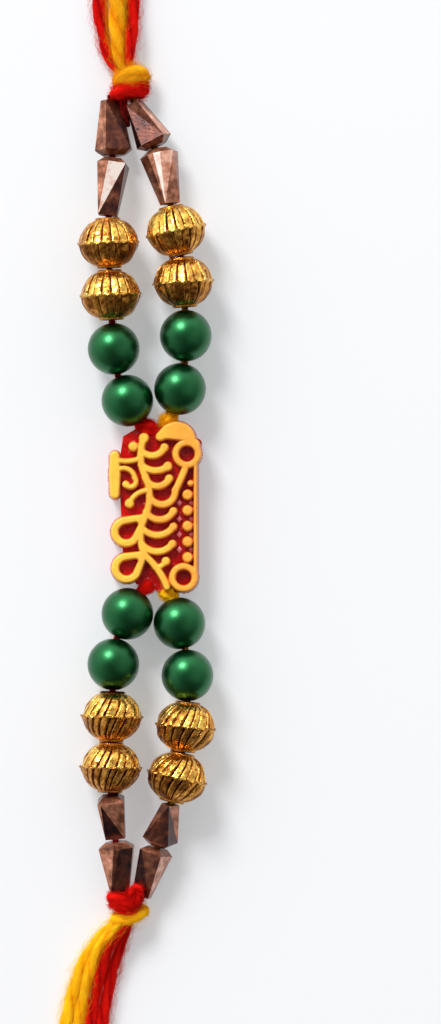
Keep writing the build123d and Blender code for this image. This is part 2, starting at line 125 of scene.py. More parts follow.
def brushed_yarn(name, colours):
    """Dyed cotton yarn: fine fibres run along the twist, duller and darker between the plies, a painted
    shade.

    The fibres are drawn 0.3 mm apart, as coarse as they need to show. The patches are 1.4 mm across.
    The groove attribute is 0 to 1 between the plies, and more where shade is painted on the yarn.
    """
    material = new_material(name)
    place = add_node(material, "ShaderNodeUVMap", {"uv_map": "yarn"})
    along = add_node(material, "ShaderNodeMapping", {"Scale": (0.8, 3.4, 1.0)}, {"Vector": (place, "UV")})
    fibres = add_node(material, "ShaderNodeTexNoise",
                      {"Scale": 1.0, "Detail": 7.0, "Roughness": 0.68, "Distortion": 0.9},
                      {"Vector": (along, "Vector")})
    patches = add_node(material, "ShaderNodeTexNoise", {"Scale": 0.7, "Detail": 4.0},
                       {"Vector": (place, "UV")})
    groove = add_node(material, "ShaderNodeAttribute", {"attribute_name": "groove"})
    tone = add_node(material, "ShaderNodeMath", {"operation": "MULTIPLY", 1: 0.75}, {0: (fibres, "Fac")})
    # The groove between the plies pulls the tone down towards the shade colour, a painted shade
    for pattern, weight in ((patches, 0.55), (groove, -0.55)):
        tone = add_node(material, "ShaderNodeMath", {"operation": "MULTIPLY_ADD", 1: weight},
                        {0: (pattern, "Fac"), 2: (tone, "Value")})
    dye = add_node(material, "ShaderNodeValToRGB",
                   {"stops": {0.0: colours["shade"], 0.22: colours["deep"], 0.5: colours["main"],
                              0.82: colours["light"]}}, {"Fac": (tone, "Value")})
    # Painted shade: past 1 the groove attribute turns the dye towards near black
    painted_shade_share = add_node(material, "ShaderNodeMapRange", {"From Min": 1.0, "From Max": 2.0, "To Max": 0.9},
                      {"Value": (groove, "Fac")})
    shaded_dye = add_node(material, "ShaderNodeMix", {"data_type": "RGBA", 7: linear(painted_shade_colour)},
                    {0: (painted_shade_share, "Result"), 6: (dye, "Color")})
    colour = (shaded_dye, "Result")
    if colours is yellow_yarn_colours:
        colour = lemon_at_near_end(material, colour)
    bump = add_node(material, "ShaderNodeBump", {"Strength": 1.0, "Distance": 0.00030},
                    {"Height": (fibres, "Fac")})
    surface = add_node(material, "ShaderNodeBsdfPrincipled",
                       {"Roughness": 0.9, "Sheen Weight": 0.2, "Sheen Roughness": 0.5,
                        "Specular IOR Level": 0.1, "Sheen Tint": linear(colours["light"])},
                       {"Base Color": colour, "Normal": (bump, "Normal")})
    add_node(material, "ShaderNodeOutputMaterial", {}, {"Surface": (surface, "BSDF")})
    return material


def loose_fibre(name, colours, cover):
    """Single cotton fibres that stand off the yarn, thin enough to let the light through."""
    material = new_material(name)
    place = add_node(material, "ShaderNodeTexCoord", {})
    shade = add_node(material, "ShaderNodeTexNoise", {"Scale": 900.0}, {"Vector": (place, "Object")})
    dye = add_node(material, "ShaderNodeMix",
                   {"data_type": "RGBA", 6: linear(colours["main"]), 7: linear(colours["light"])},
                   {0: (shade, "Fac")})
    colour = (dye, "Result")
    if colours is yellow_yarn_colours:
        colour = lemon_at_near_end(material, colour)
    surface = add_node(material, "ShaderNodeBsdfPrincipled",
                       {"Roughness": 0.8, "Specular IOR Level": 0.1, "Alpha": cover}, {"Base Color": colour})
    add_node(material, "ShaderNodeOutputMaterial", {}, {"Surface": (surface, "BSDF")})
    return material


yarns = {"red": (brushed_yarn("red_cotton_yarn", red_yarn_colours),
                 loose_fibre("red_cotton_fibre", red_yarn_colours, 0.75)),
         "yellow": (brushed_yarn("yellow_cotton_yarn", yellow_yarn_colours),
                    loose_fibre("yellow_cotton_fibre", yellow_yarn_colours, 0.65))}


def route_line(points, spacing, closed=False):
    """Evenly spaced points in metres on the NURBS spline of a route given in millimetres."""
    curve = bpy.data.curves.new("route", "CURVE")
    curve.dimensions = "3D"
    spline = curve.splines.new("NURBS")
    spline.points.add(len(points) - 1)
    for point, place in zip(spline.points, points):
        point.co = (place[0] / 1000, place[1] / 1000, place[2] / 1000, 1.0)
    spline.order_u = 3
    spline.use_endpoint_u = not closed
    spline.use_cyclic_u = closed
    spline.resolution_u = 24
    route = bpy.data.objects.new("route", curve)
    line = bpy.data.meshes.new_from_object(route)
    places = np.array([v.co[:] for v in line.vertices])
    if closed:
        places = np.vstack([places, places[:1]])
    bpy.data.objects.remove(route)
    bpy.data.meshes.remove(line)
    bpy.data.curves.remove(curve)
    distance = np.concatenate([[0], np.cumsum(np.linalg.norm(np.diff(places, axis=0), axis=1))])
    count = max(4, int(distance[-1] * 1000 / spacing) + 1)
    wanted = np.linspace(0, distance[-1], count)
    return np.column_stack([np.interp(wanted, distance, places[:, k]) for k in range(3)])


def line_frames(line, facing):
    """Tangent, sideways and upward directions along a line, upward nearest to facing."""
    tangent = np.gradient(line, axis=0)
    tangent /= np.linalg.norm(tangent, axis=1)[:, None]
    side = np.cross(tangent, facing)
    side /= np.linalg.norm(side, axis=1)[:, None]
    return tangent, side, np.cross(side, tangent)


def yarn_surface(line, facing, widths, heights, twist_length, seed, plies, lump_depth):
    """Vertices, faces, UVs in millimetres, groove depths and line frames of a twisted, uneven yarn."""
    tangent, side, upward = line_frames(line, facing)
    along = np.concatenate([[0], np.cumsum(np.linalg.norm(np.diff(line, axis=0), axis=1))]) * 1000
    turn_wave, swell_wave, ripple_wave, ply_wave = np.random.default_rng(seed).uniform(0, 2 * math.pi, 4)
    rings = len(line)
    angle = np.linspace(-math.pi / 2, 1.5 * math.pi, yarn_sides, endpoint=False)
    # The twist wanders and the yarn swells in slow waves of 8 to 26 mm
    turn = 2 * math.pi * along / twist_length + 0.6 * np.sin(along / 4.1 + turn_wave)
    swell = 1 + 0.05 * np.sin(along / 2.7 + swell_wave) + 0.04 * np.sin(along / 1.3 + ripple_wave)
    lobe = np.abs(np.cos((angle[None, :] * plies - turn[:, None]) / 2 + ply_wave))
    groove = (1 - lobe) ** 1.6
    # Lumps of brushed fibre, each about as long as the yarn is wide
    lumps = np.empty((rings, yarn_sides))
    for i in range(rings):
        for j in range(yarn_sides):
            spot = Vector((along[i] * 0.55 + seed, math.cos(angle[j]) * 1.6, math.sin(angle[j]) * 1.6))
            lumps[i, j] = noise.noise(spot) + 0.6 * noise.noise(spot * 2.3)
    radius = (1 - yarn_groove_depth * groove + lump_depth * lumps) * swell[:, None]
    half_wide = (widths / 2)[:, None] * radius * np.cos(angle)[None, :]
    half_high = (heights / 2)[:, None] * radius * np.sin(angle)[None, :]
    points = (line[:, None, :] + side[:, None, :] * half_wide[:, :, None] / 1000
              + upward[:, None, :] * half_high[:, :, None] / 1000)
    faces, places = [], []
    girth = math.pi * float(np.mean(widths))
    for i in range(rings - 1):
        near, far = i * yarn_sides, (i + 1) * yarn_sides
        for j in range(yarn_sides):
            k = (j + 1) % yarn_sides
            faces.append((near + j, near + k, far + k, far + j))
            for ring, step in ((i, j), (i, j + 1), (i + 1, j + 1), (i + 1, j)):
                places.append((along[ring], girth * (step / yarn_sides + along[ring] / twist_length)))
    for ring in (0, rings - 1):
        order = list(range(ring * yarn_sides, (ring + 1) * yarn_sides))
        faces.append(tuple(order if ring else reversed(order)))
        places += [(along[ring], girth * j / yarn_sides) for j in range(yarn_sides)]
    return points.reshape(-1, 3), faces, places, groove.reshape(-1), (tangent, side, upward, along)


# Loose fibres, in millimetres. The few that stray stand further out and are shorter than the rest.
fibre_lengths = (0.9, 3.0)
fibre_radius = 0.021
fibre_rings = 3
fibre_root_share = 0.93
fibre_lowest = 0.05
stray_share = 0.09
stray_lift = 1.6
stray_reach = 0.55


def fibre_fuzz(line, frames, widths, heights, count, seed, stand_off):
    """Thin tapered fibres that start just inside the yarn, lift off it and mostly follow it."""
    tangent, side, upward, along = frames
    generator = np.random.default_rng(seed)
    vertices, faces = [], []
    length = along[-1]
    for _ in range(count):
        start = generator.uniform(0, length)
        reach = generator.uniform(*fibre_lengths) * (1 if generator.random() < 0.5 else -1)
        stray = generator.random() < stray_share
        lift = generator.uniform(0.1, 1.0) ** 1.3 * stand_off
        if stray:
            lift *= stray_lift
            reach *= stray_reach
        root = generator.uniform(-0.35 * math.pi, 1.35 * math.pi)
        drift = generator.uniform(-1.3, 1.3)
        first = len(vertices)
        for ring in range(fibre_rings):
            share = ring / (fibre_rings - 1)
            place = min(max(start + reach * share, 0), length)
            i = min(max(int(np.searchsorted(along, place, side="right") - 1), 0), len(line) - 1)
            bearing = root + drift * share
            out = lift * (1 - (1 - share) ** 2.2)
            half_wide = widths[i] / 2 * fibre_root_share + out
            half_high = heights[i] / 2 * fibre_root_share + out
            middle = (line[i] + side[i] * half_wide * math.cos(bearing) / 1000
                      + upward[i] * half_high * math.sin(bearing) / 1000
                      + tangent[i] * (place - along[i]) / 1000)
            middle[2] = max(middle[2], fibre_lowest / 1000)
            thick = fibre_radius * (1 - 0.6 * share) / 1000
            for corner in range(3):
                around = corner * 2 * math.pi / 3
                vertices.append(middle + (side[i] * math.cos(around) + upward[i] * math.sin(around)) * thick)
        for a in range(first, first + 3 * (fibre_rings - 1)):
            b = a + 1 if (a - first) % 3 < 2 else a - 2
            faces.append((a, b, b + 3, a + 3))
    return np.array(vertices), faces


def yarn_piece(name, line, facing, widths, heights, colour, fuzz_per_mm, seed, twist_length,
               plies=3, stand_off=1.15, painted_shade=0.0, lump_depth=0.12):
    """One yarn object with its loose fibres as a second material. Painted shade, given along its length,
    darkens it.
    """
    body, faces, places, groove, frames = yarn_surface(line, facing, widths, heights, twist_length, seed,
                                                       plies, lump_depth)
    groove = groove + np.repeat(np.broadcast_to(painted_shade, len(line)), yarn_sides)
    fuzz, fuzz_faces = fibre_fuzz(line, frames, widths, heights, int(fuzz_per_mm * frames[3][-1]),
                                  seed + 1, stand_off)
    all_faces = faces + [tuple(v + len(body) for v in face) for face in fuzz_faces]
    mesh = bpy.data.meshes.new(name)
    mesh.from_pydata(np.vstack([body, fuzz]).tolist(), [], all_faces)
    for material in yarns[colour]:
        mesh.materials.append(material)
    mesh.polygons.foreach_set("material_index", [0] * len(faces) + [1] * len(fuzz_faces))
    mesh.polygons.foreach_set("use_smooth", [True] * len(all_faces))
    flat = np.zeros((len(mesh.loops), 2))
    flat[:len(places)] = places
    mesh.uv_layers.new(name="yarn").data.foreach_set("uv", flat.reshape(-1))
    depth = mesh.attributes.new("groove", "FLOAT", "POINT")
    depth.data.foreach_set("value", np.concatenate([groove, np.zeros(len(fuzz))]))
    mesh.update()
    piece = bpy.data.objects.new(name, mesh)
    bpy.context.scene.collection.objects.link(piece)
    return piece


def fit_piece(piece, node):
    """Fix a piece to the bracelet's one body, in place of a node, which is hidden."""
    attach(piece, "root")
    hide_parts(node)


# For each yarn end, in millimetres: its route from inside its knot, where it leaves the knot, and its
# width along Y
yarn_routes = {
    "top_yarn_red_left": [
        (-4.9, 65.7, 2.0), (-5.6, 66.5, 1.8), (-6.7, 67.8, 1.5), (-7.5, 69.5, 1.2), (-7.85, 71.4, 1.0),
        (-8.3, 73.6, 0.95), (-8.5, 76.0, 0.95), (-8.4, 80.0, 0.95), (-8.0, 88.0, 0.95), (-8.1, 98.0, 0.95),
        (-8.7, 110.0, 0.95), (-8.3, 124.0, 0.95), (-9.0, 139.4, 0.95)],
    "top_yarn_yellow_upper": [
        (-4.6, 66.0, 3.0), (-5.1, 67.1, 3.2), (-5.7, 68.9, 3.2), (-5.88, 70.8, 3.05), (-5.95, 73.2, 2.9),
        (-5.95, 76.0, 2.8), (-6.1, 80.5, 2.7), (-6.0, 88.0, 1.6), (-6.1, 96.0, 0.95), (-6.7, 110.0, 0.95),
        (-6.3, 124.0, 0.95), (-6.8, 139.4, 0.95)],
    "top_yarn_yellow_lower": [
        (-4.3, 66.3, 1.6), (-4.6, 68.0, 1.3), (-5.2, 70.4, 1.1), (-5.5, 73.0, 1.0), (-5.6, 76.0, 0.95),
        (-5.3, 80.5, 0.95), (-4.1, 88.0, 0.95), (-3.9, 98.0, 0.95), (-4.6, 110.0, 0.95),
        (-4.2, 124.0, 0.95), (-4.5, 139.4, 0.95)],
    "top_yarn_red_right": [
        (-4.2, 65.9, 2.6), (-4.25, 67.3, 3.0), (-4.1, 69.3, 3.0), (-3.85, 71.4, 2.6), (-3.65, 73.6, 2.0),
        (-3.65, 76.0, 1.3), (-3.3, 80.0, 0.95), (-2.1, 88.0, 0.95), (-1.8, 98.0, 0.95), (-2.5, 110.0, 0.95),
        (-2.1, 124.0, 0.95), (-2.2, 139.4, 0.95)],
    "bottom_yarn_yellow_left": [
        (-5.2, -62.6, 2.0), (-6.6, -63.6, 1.8), (-8.0, -64.9, 1.4), (-9.3, -66.4, 1.1), (-10.5, -68.2, 1.0),
        (-11.7, -70.8, 0.95), (-12.8, -74.4, 0.95), (-13.75, -78.5, 0.95), (-14.2, -85.5, 0.95),
        (-13.5, -95.0, 0.95), (-11.3, -107.0, 0.95), (-10.5, -118.0, 0.95), (-10.9, -129.0, 0.95),
        (-10.2, -139.3, 0.95)],
    "bottom_yarn_yellow_right": [
        (-4.6, -62.8, 2.8), (-5.8, -63.8, 2.9), (-7.1, -65.0, 2.8), (-8.3, -66.4, 2.5), (-9.2, -68.2, 2.0),
        (-10.0, -70.7, 1.5), (-11.0, -74.4, 1.0), (-11.85, -78.5, 0.95), (-12.3, -85.5, 0.95),
        (-11.6, -95.0, 0.95), (-9.3, -107.0, 0.95), (-8.5, -118.0, 0.95), (-8.9, -129.0, 0.95),
        (-8.1, -139.3, 0.95)],
    "bottom_yarn_red_left": [
        (-4.3, -62.8, 2.6), (-5.2, -64.3, 2.7), (-6.2, -65.4, 2.6), (-7.1, -66.8, 2.3), (-7.8, -68.6, 2.0),
        (-8.4, -70.9, 1.6), (-9.25, -74.5, 1.1), (-10.05, -78.6, 0.95), (-10.3, -85.8, 0.95),
        (-9.6, -95.0, 0.95), (-7.3, -107.0, 0.95), (-6.5, -118.0, 0.95), (-6.8, -129.0, 0.95),
        (-5.9, -139.3, 0.95)],
    "bottom_yarn_red_right": [
        (-4.0, -62.9, 1.6), (-4.6, -64.6, 1.5), (-5.2, -66.2, 1.2), (-5.9, -68.4, 1.0), (-6.65, -70.8, 0.95),
        (-7.5, -74.5, 0.95), (-8.25, -78.6, 0.95), (-8.5, -85.8, 0.95), (-7.5, -95.0, 0.95),
        (-5.2, -107.0, 0.95), (-4.2, -118.0, 0.95), (-4.6, -129.0, 0.95), (-3.7, -139.3, 0.95)],
}
yarn_widths = {
    "top_yarn_red_left": ([66, 68, 70, 72, 73.5, 75, 80, 90], [1.4, 1.7, 1.7, 1.9, 2.25, 2.4, 2.2, 2.0]),
    "top_yarn_yellow_upper": ([66.5, 68, 70, 72, 73.5, 75, 80, 90],
                              [1.4, 1.6, 1.85, 2.1, 2.4, 2.55, 2.3, 2.0]),
    "top_yarn_yellow_lower": ([66, 90], [1.4, 1.9]),
    "top_yarn_red_right": ([66, 68, 70, 72, 74, 77, 90], [1.4, 1.6, 1.85, 2.15, 2.2, 2.05, 2.0]),
    "bottom_yarn_yellow_left": ([64.5, 67, 71, 90], [1.4, 1.6, 1.9, 1.9]),
    "bottom_yarn_yellow_right": ([64.5, 67, 71, 90], [1.4, 1.6, 1.9, 1.9]),
    "bottom_yarn_red_left": ([64.5, 67, 71, 90], [1.4, 1.6, 1.75, 1.9]),
    "bottom_yarn_red_right": ([64.5, 67, 71, 90], [1.4, 1.5, 1.75, 1.9]),
}
# A wide end is a flat one: its width times its height stays the same, under a greatest height
end_most_high = 1.85
end_width_times_height = 3.7
for number, (name, route) in enumerate(yarn_routes.items()):
    line = route_line(route, 1 / yarn_rings_per_mm)
    widths = np.interp(np.abs(line[:, 1]) * 1000, *yarn_widths[name])
    heights = np.minimum(end_most_high, end_width_times_height / widths)
    colour = "red" if "red" in name else "yellow"
    piece = yarn_piece(name + "_yarn", line, (0, 0, 1), widths, heights, colour, end_fibres_per_mm,
                       10 * number + 3, end_twist_lengths[colour], plies=yarn_plies[colour])
    fit_piece(piece, name)


# Knots. At each end of the beads the yarn is wound round the threads and tied: a fat turn or two of
# red against the beads, and behind it a turn of yellow that crosses over on the slant.
def yarn_turn(centre, half_width, half_height, lean, arch, count=10):
    """Points of one closed turn. lean is its slope in plan, and arch lifts its front off the beads."""
    points = []
    for i in range(count):
        angle = 2 * math.pi * i / count
        across, rise = half_width * math.cos(angle), half_height * math.sin(angle)
        bow = arch * max(0.0, math.sin(angle)) ** 1.5
        points.append((centre[0] + across, centre[1] + lean * across + bow, centre[2] + rise))
    return points


# For each turn: colour, thickness, length of its twist, its points, and how much shade is painted on it
knot_turns = {
    "top_knot_red": [
        ("red", 2.3, 6.5, yarn_turn((-4.0, 63.1, 2.35), 2.15, 1.25, 0.10, 0.45), 0.0),
        ("red", 2.1, 6.0, yarn_turn((-3.8, 64.0, 2.2), 2.0, 1.1, 0.16, 0.35), 0.0),
        # This turn hangs down between the upper bronze beads, with painted shade
        ("red", 1.3, 4.0, [(-5.5, 62.6, 1.7), (-5.2, 60.8, 1.5), (-4.7, 58.9, 1.3), (-4.4, 58.1, 1.4),
                           (-4.5, 59.0, 2.0), (-4.8, 60.8, 2.3), (-5.0, 62.6, 2.4)], 1.25),
    ],
    "top_knot_yellow": [
        ("yellow", 2.3, 5.0, yarn_turn((-3.75, 65.0, 2.3), 2.05, 1.35, 0.12, 1.35), 0.0),
        ("yellow", 1.9, 4.4, yarn_turn((-3.7, 64.9, 2.3), 1.6, 1.45, 0.10, 0.35), 0.0),
    ],
    "bottom_knot_red": [
        ("red", 1.9, 5.5, yarn_turn((-4.85, -59.9, 2.4), 1.95, 1.35, -0.22, -0.2), 0.0),
        ("red", 1.8, 5.0, yarn_turn((-4.6, -60.9, 2.3), 1.9, 1.3, -0.30, -0.35), 0.0),
        ("red", 1.5, 4.5, [(-3.5, -60.6, 3.6), (-2.7, -60.0, 4.1), (-2.35, -58.7, 4.4), (-2.8, -57.8, 4.3),
                           (-3.4, -58.3, 4.1), (-3.7, -59.4, 3.8)], 0.0),
    ],
    "bottom_knot_yellow": [
        ("yellow", 1.7, 4.6, yarn_turn((-4.0, -62.0, 2.2), 2.35, 1.2, 0.28, -0.75), 0.0),
    ],
}
knot_ring_spacing = 0.26
# A turn with painted shade gets fewer loose fibres
knot_fibres_per_mm, shaded_turn_fibres_per_mm = 90, 15
knot_flatness = 0.9
knot_fibre_lift = 0.8
for node, turns in knot_turns.items():
    for number, (colour, thick, twist_length, points, painted_shade) in enumerate(turns):
        line = route_line(points, knot_ring_spacing, closed=True)
        thickness = np.full(len(line), thick)
        piece = yarn_piece(f"{node}_turn_{number + 1}", line, (0, 1, 0), thickness * knot_flatness,
                           thickness, colour, shaded_turn_fibres_per_mm if painted_shade else knot_fibres_per_mm,
                           300 + 17 * number + len(node), twist_length, plies=yarn_plies[colour],
                           stand_off=knot_fibre_lift, painted_shade=painted_shade)
        fit_piece(piece, node)


# Strings. Two strings of beads run from knot to knot, through the motif. Their beads lie on the
# table one behind the other. The places are worked out as in the part: each bead's hole has a
# heading in plan, from the long axis towards the right, and the beads rest on the table.
pearl_diameter = 7.9
gold_diameter = 9.3
gold_length = 7.5
bronze_length = 9.0
bronze_wide_diameter = 5.9
bronze_narrow_diameter = 3.2
bronze_bevel_height = 0.85
bronze_end_diameter = 3.5
bronze_lift = 0.2
bore_diameter = 1.5
motif_half_width = 7.1
motif_half_height = 13.1
bead_lengths = {"pearl": pearl_diameter, "gold_bead": gold_length, "bronze_bead": bronze_length}
rest_heights = {"pearl": pearl_diameter / 2, "gold_bead": gold_diameter / 2,
                "bronze_bead": bronze_wide_diameter / 2 + bronze_lift}
bore_height = 2.9
# Where the motif's bores open and the strings start, as shares of half its width and half its length
bore_across = {"left": -0.14, "right": 0.24}
bore_mouths = {("top", "left"): 0.915, ("bottom", "left"): -0.920,
               ("top", "right"): 0.992, ("bottom", "right"): -0.995}
string_starts = {("top", "left"): (-0.355, 0.955), ("top", "right"): (0.380, 1.070),
                 ("bottom", "left"): (-0.322, -0.967), ("bottom", "right"): (0.348, -1.053)}
# For each bead: kind, place, heading, slack, share of its length, turn about the thread, narrow end out
string_beads = {
    ("top", "left"): [
        ("pearl", "inner", -26, 0.3, 1, 0, False), ("pearl", "outer", -4, 0.5, 1, 0, False),
        ("gold_bead", "inner", -2.5, 0.55, 1, 0, False), ("gold_bead", "outer", -2, 0.25, 1, 4, False),
        ("bronze_bead", "inner", 6, 0.55, 0.98, 35, False),
        ("bronze_bead", "outer", -3.5, 0.45, 0.95, 37, True)],
    ("top", "right"): [
        ("pearl", "inner", 14, 0.25, 1, 0, False), ("pearl", "outer", -1.5, 0.4, 1, 0, False),
        ("gold_bead", "inner", -4, 0.5, 1, 7, False), ("gold_bead", "outer", -12, 0.35, 1, 2, False),
        ("bronze_bead", "inner", -13, 0.55, 0.95, 5, False),
        ("bronze_bead", "outer", -27, 0.6, 0.84, 13, True)],
    ("bottom", "left"): [
        ("pearl", "inner", -29.5, 0.35, 1, 0, False), ("pearl", "outer", -1.5, 0.3, 1, 0, False),
        ("gold_bead", "inner", -1.5, 0.2, 1, 5, False), ("gold_bead", "outer", -1.5, 0.3, 1, 1, False),
        ("bronze_bead", "inner", 7, 0.65, 0.76, 45, True),
        ("bronze_bead", "outer", 4.5, 0.35, 0.89, 26, True)],
    ("bottom", "right"): [
        ("pearl", "inner", 16, 0.25, 1, 0, False), ("pearl", "outer", 1.5, 0.1, 1, 0, False),
        ("gold_bead", "inner", -6, 0.2, 1, 3, False), ("gold_bead", "outer", -13, 0.45, 1, 8, False),
        ("bronze_bead", "inner", -16.5, 0.45, 0.74, 24, False),
        ("bronze_bead", "outer", -18.5, 0.35, 0.87, 31, True)],
}
# A string starts this far below the middle of its first pearl, and enters its knot at this height
string_dip = 0.2
knot_entry_height = 2.2


def lay_string(end, side):
    """The thread's points in millimetres, and its beads as they lie. A bead's turn takes +Z to its hole."""
    outward = 1 if end == "top" else -1
    plans = string_beads[end, side]
    mouth = Vector((bore_across[side] * motif_half_width, bore_mouths[end, side] * motif_half_height,
                    bore_height))
    heights = [max(rest_heights[a[0]], rest_heights[b[0]]) for a, b in zip(plans, plans[1:])]
    heights[0] += string_dip
    heights.append(knot_entry_height)
    across, along = string_starts[end, side]
    point = Vector((across * motif_half_width, along * motif_half_height,
                    rest_heights["pearl"] - string_dip))
    points = [mouth, point]
    beads = []
    for (kind, place, heading, slack, share, roll, narrow_out), height in zip(plans, heights):
        length = bead_lengths[kind] * share
        rise = height - point.z
        plan = math.sqrt((length + slack) ** 2 - rise ** 2)
        angle = math.radians(heading)
        step = Vector((plan * math.sin(angle), outward * plan * math.cos(angle), rise))
        along_hole = step.normalized()
        across_hole = Vector((outward, 0, 0))
        across_hole = (across_hole - along_hole * across_hole.dot(along_hole)).normalized()
        turn = Matrix((across_hole, along_hole.cross(across_hole), along_hole)).transposed()
        beads.append({"name": f"{kind}_{end}_{side}_{place}", "entry": point + along_hole * (slack / 2),
                      "turn": turn, "length": length, "roll": roll, "narrow_out": narrow_out})
        point = point + step
        points.append(point)
    return points, beads


strings = {key: lay_string(*key) for key in string_beads}


def beads_of(kind):
    """The beads of one kind as they lie, each with the number of its string."""
    return [{**bead, "string": number} for number, (points, beads) in enumerate(strings.values())
            for bead in beads if bead["name"].startswith(kind)]


def lay_along_hole(build, bead, distance):
    """Turn a shape made about Z to lie along a bead's hole, its origin this far from the hole's start."""
    bmesh.ops.rotate(build, cent=(0, 0, 0), matrix=bead["turn"], verts=build.verts)
    origin = bead["entry"] + bead["turn"] @ Vector((0, 0, distance))
    bmesh.ops.translate(build, vec=origin / 1000, verts=build.verts)


def link_mesh(name, build, materials, smooth=True):
    """A new object from a bmesh, in metres."""
    mesh = bpy.data.meshes.new(name)
    build.to_mesh(mesh)
    build.free()
    for material in materials:
        mesh.materials.append(material)
    mesh.polygons.foreach_set("use_smooth", [smooth] * len(mesh.polygons))
    mesh.update()
    piece = bpy.data.objects.new(name, mesh)
    bpy.context.scene.collection.objects.link(piece)
    return piece


# Pearls. Round glass beads dipped in a green pearl lacquer: a satin metallic coat with one broad soft
# bright spot, deep green away from it, and a small rounded rim at each drilled hole.
def pearl_lacquer():
    """Green pearl lacquer: a deep metallic green with a broad glow, and a mint glint from its clear coat."""
    # The clouds are 2.4 mm across, and the grain of the pearl pigment is drawn 0.2 mm across
    material = new_material("green_pearl_lacquer")
    place = add_node(material, "ShaderNodeTexCoord", {})
    clouds = add_node(material, "ShaderNodeTexNoise", {"Scale": 420.0, "Detail": 3.0, "Roughness": 0.5},
                      {"Vector": (place, "Object")})
    colour = add_node(material, "ShaderNodeValToRGB", {"stops": {0.3: "085829", 0.75: "0c6633"}},
                      {"Fac": (clouds, "Fac")})
    grain = add_node(material, "ShaderNodeTexNoise", {"Scale": 5200.0, "Detail": 2.0},
                     {"Vector": (place, "Object")})
    bump = add_node(material, "ShaderNodeBump", {"Strength": 0.10, "Distance": 0.00002},
                    {"Height": (grain, "Fac")})
    surface = add_node(material, "ShaderNodeBsdfPrincipled",
                       {"Metallic": 1.0, "Roughness": 0.36, "Coat Weight": 0.5, "Coat Roughness": 0.31},
                       {"Base Color": (colour, "Color"), "Normal": (bump, "Normal")})
    add_node(material, "ShaderNodeOutputMaterial", {}, {"Surface": (surface, "BSDF")})
    return material


def turned_shape(profile, segments):
    """A bmesh turned about Z from (radius, height) pairs in millimetres, closed into a ring."""
    build = bmesh.new()
    rings = []
    for radius, height in profile:
        ring = []
        for i in range(segments):
            angle = 2 * math.pi * i / segments
            ring.append(build.verts.new((radius * math.cos(angle) / 1000, radius * math.sin(angle) / 1000,
                                         height / 1000)))
        rings.append(ring)
    for lower, upper in zip(rings, rings[1:] + rings[:1]):
        for i in range(segments):
            k = (i + 1) % segments
            build.faces.new((lower[i], lower[k], upper[k], upper[i]))
    return build


green_pearl = pearl_lacquer()
pearl_radius, bore_radius = pearl_diameter / 2, bore_diameter / 2
pearl_rim = 0.12
pearl_arc_steps, pearl_segments = 48, 72
pole = math.sqrt(pearl_radius ** 2 - (bore_radius + pearl_rim) ** 2)
rim_angle = math.atan2(bore_radius + pearl_rim, pole)
rim_profile = [(bore_radius + 0.04, pole - 0.03), (bore_radius, pole - 0.12), (bore_radius, pole - 0.35)]
pearl_profile = [(radius, -height) for radius, height in reversed(rim_profile)]
for i in range(pearl_arc_steps + 1):
    angle = rim_angle + (math.pi - 2 * rim_angle) * i / pearl_arc_steps
    pearl_profile.append((pearl_radius * math.sin(angle), -pearl_radius * math.cos(angle)))
pearl_profile += rim_profile
for bead in beads_of("pearl"):
    build = turned_shape(pearl_profile, pearl_segments)
    lay_along_hole(build, bead, bead["length"] / 2)
    fit_piece(link_mesh(bead["name"] + "_bead", build, [green_pearl]), bead["name"])


# Gold beads. Moulded plastic plated a yellow gold and stained dark in the gaps: two halves of rough
# flat ribs that meet at a scalloped ridge, with a smooth collar round the hole at each end.
def antique_gold_plate():
    """Antique gold plate: yellow and glossy where it is proud, amber and duller where it is stained, and
    where shade is painted on a bead's near-facing half and on its collars.
    """
    # The stain lies in blotches 1.5 mm across, and the plate over the rough moulding crinkles every 1 mm
    material = new_material("antique_gold_plate")
    place = add_node(material, "ShaderNodeTexCoord", {})
    groove = add_node(material, "ShaderNodeAttribute", {"attribute_name": "groove"})
    blotches = add_node(material, "ShaderNodeTexNoise", {"Scale": 650.0, "Detail": 5.0, "Roughness": 0.62},
                        {"Vector": (place, "Object")})
    stain = add_node(material, "ShaderNodeMath", {"operation": "ADD", 1: -0.43}, {0: (blotches, "Fac")})
    stain = add_node(material, "ShaderNodeMath", {"operation": "ADD", "use_clamp": True},
                     {0: (stain, "Value"), 1: (groove, "Fac")})
    colour = add_node(material, "ShaderNodeValToRGB",
                      {"stops": {0.0: "ffd264", 0.28: "d08e3c", 0.6: "86501e", 1.0: "2c1206"}},
                      {"Fac": (stain, "Value")})
    gloss = add_node(material, "ShaderNodeMapRange", {"To Min": 0.14, "To Max": 0.45},
                     {"Value": (stain, "Value")})
    crinkles = add_node(material, "ShaderNodeTexNoise",
                        {"Scale": 1000.0, "Detail": 3.5, "Roughness": 0.6, "Distortion": 0.6},
                        {"Vector": (place, "Object")})
    bump = add_node(material, "ShaderNodeBump", {"Strength": 1.0, "Distance": 0.00020},
                    {"Height": (crinkles, "Fac")})
    surface = add_node(material, "ShaderNodeBsdfPrincipled", {"Metallic": 1.0},
                       {"Base Color": (colour, "Color"), "Roughness": (gloss, "Result"),
                        "Normal": (bump, "Normal")})
    add_node(material, "ShaderNodeOutputMaterial", {}, {"Surface": (surface, "BSDF")})
    return material


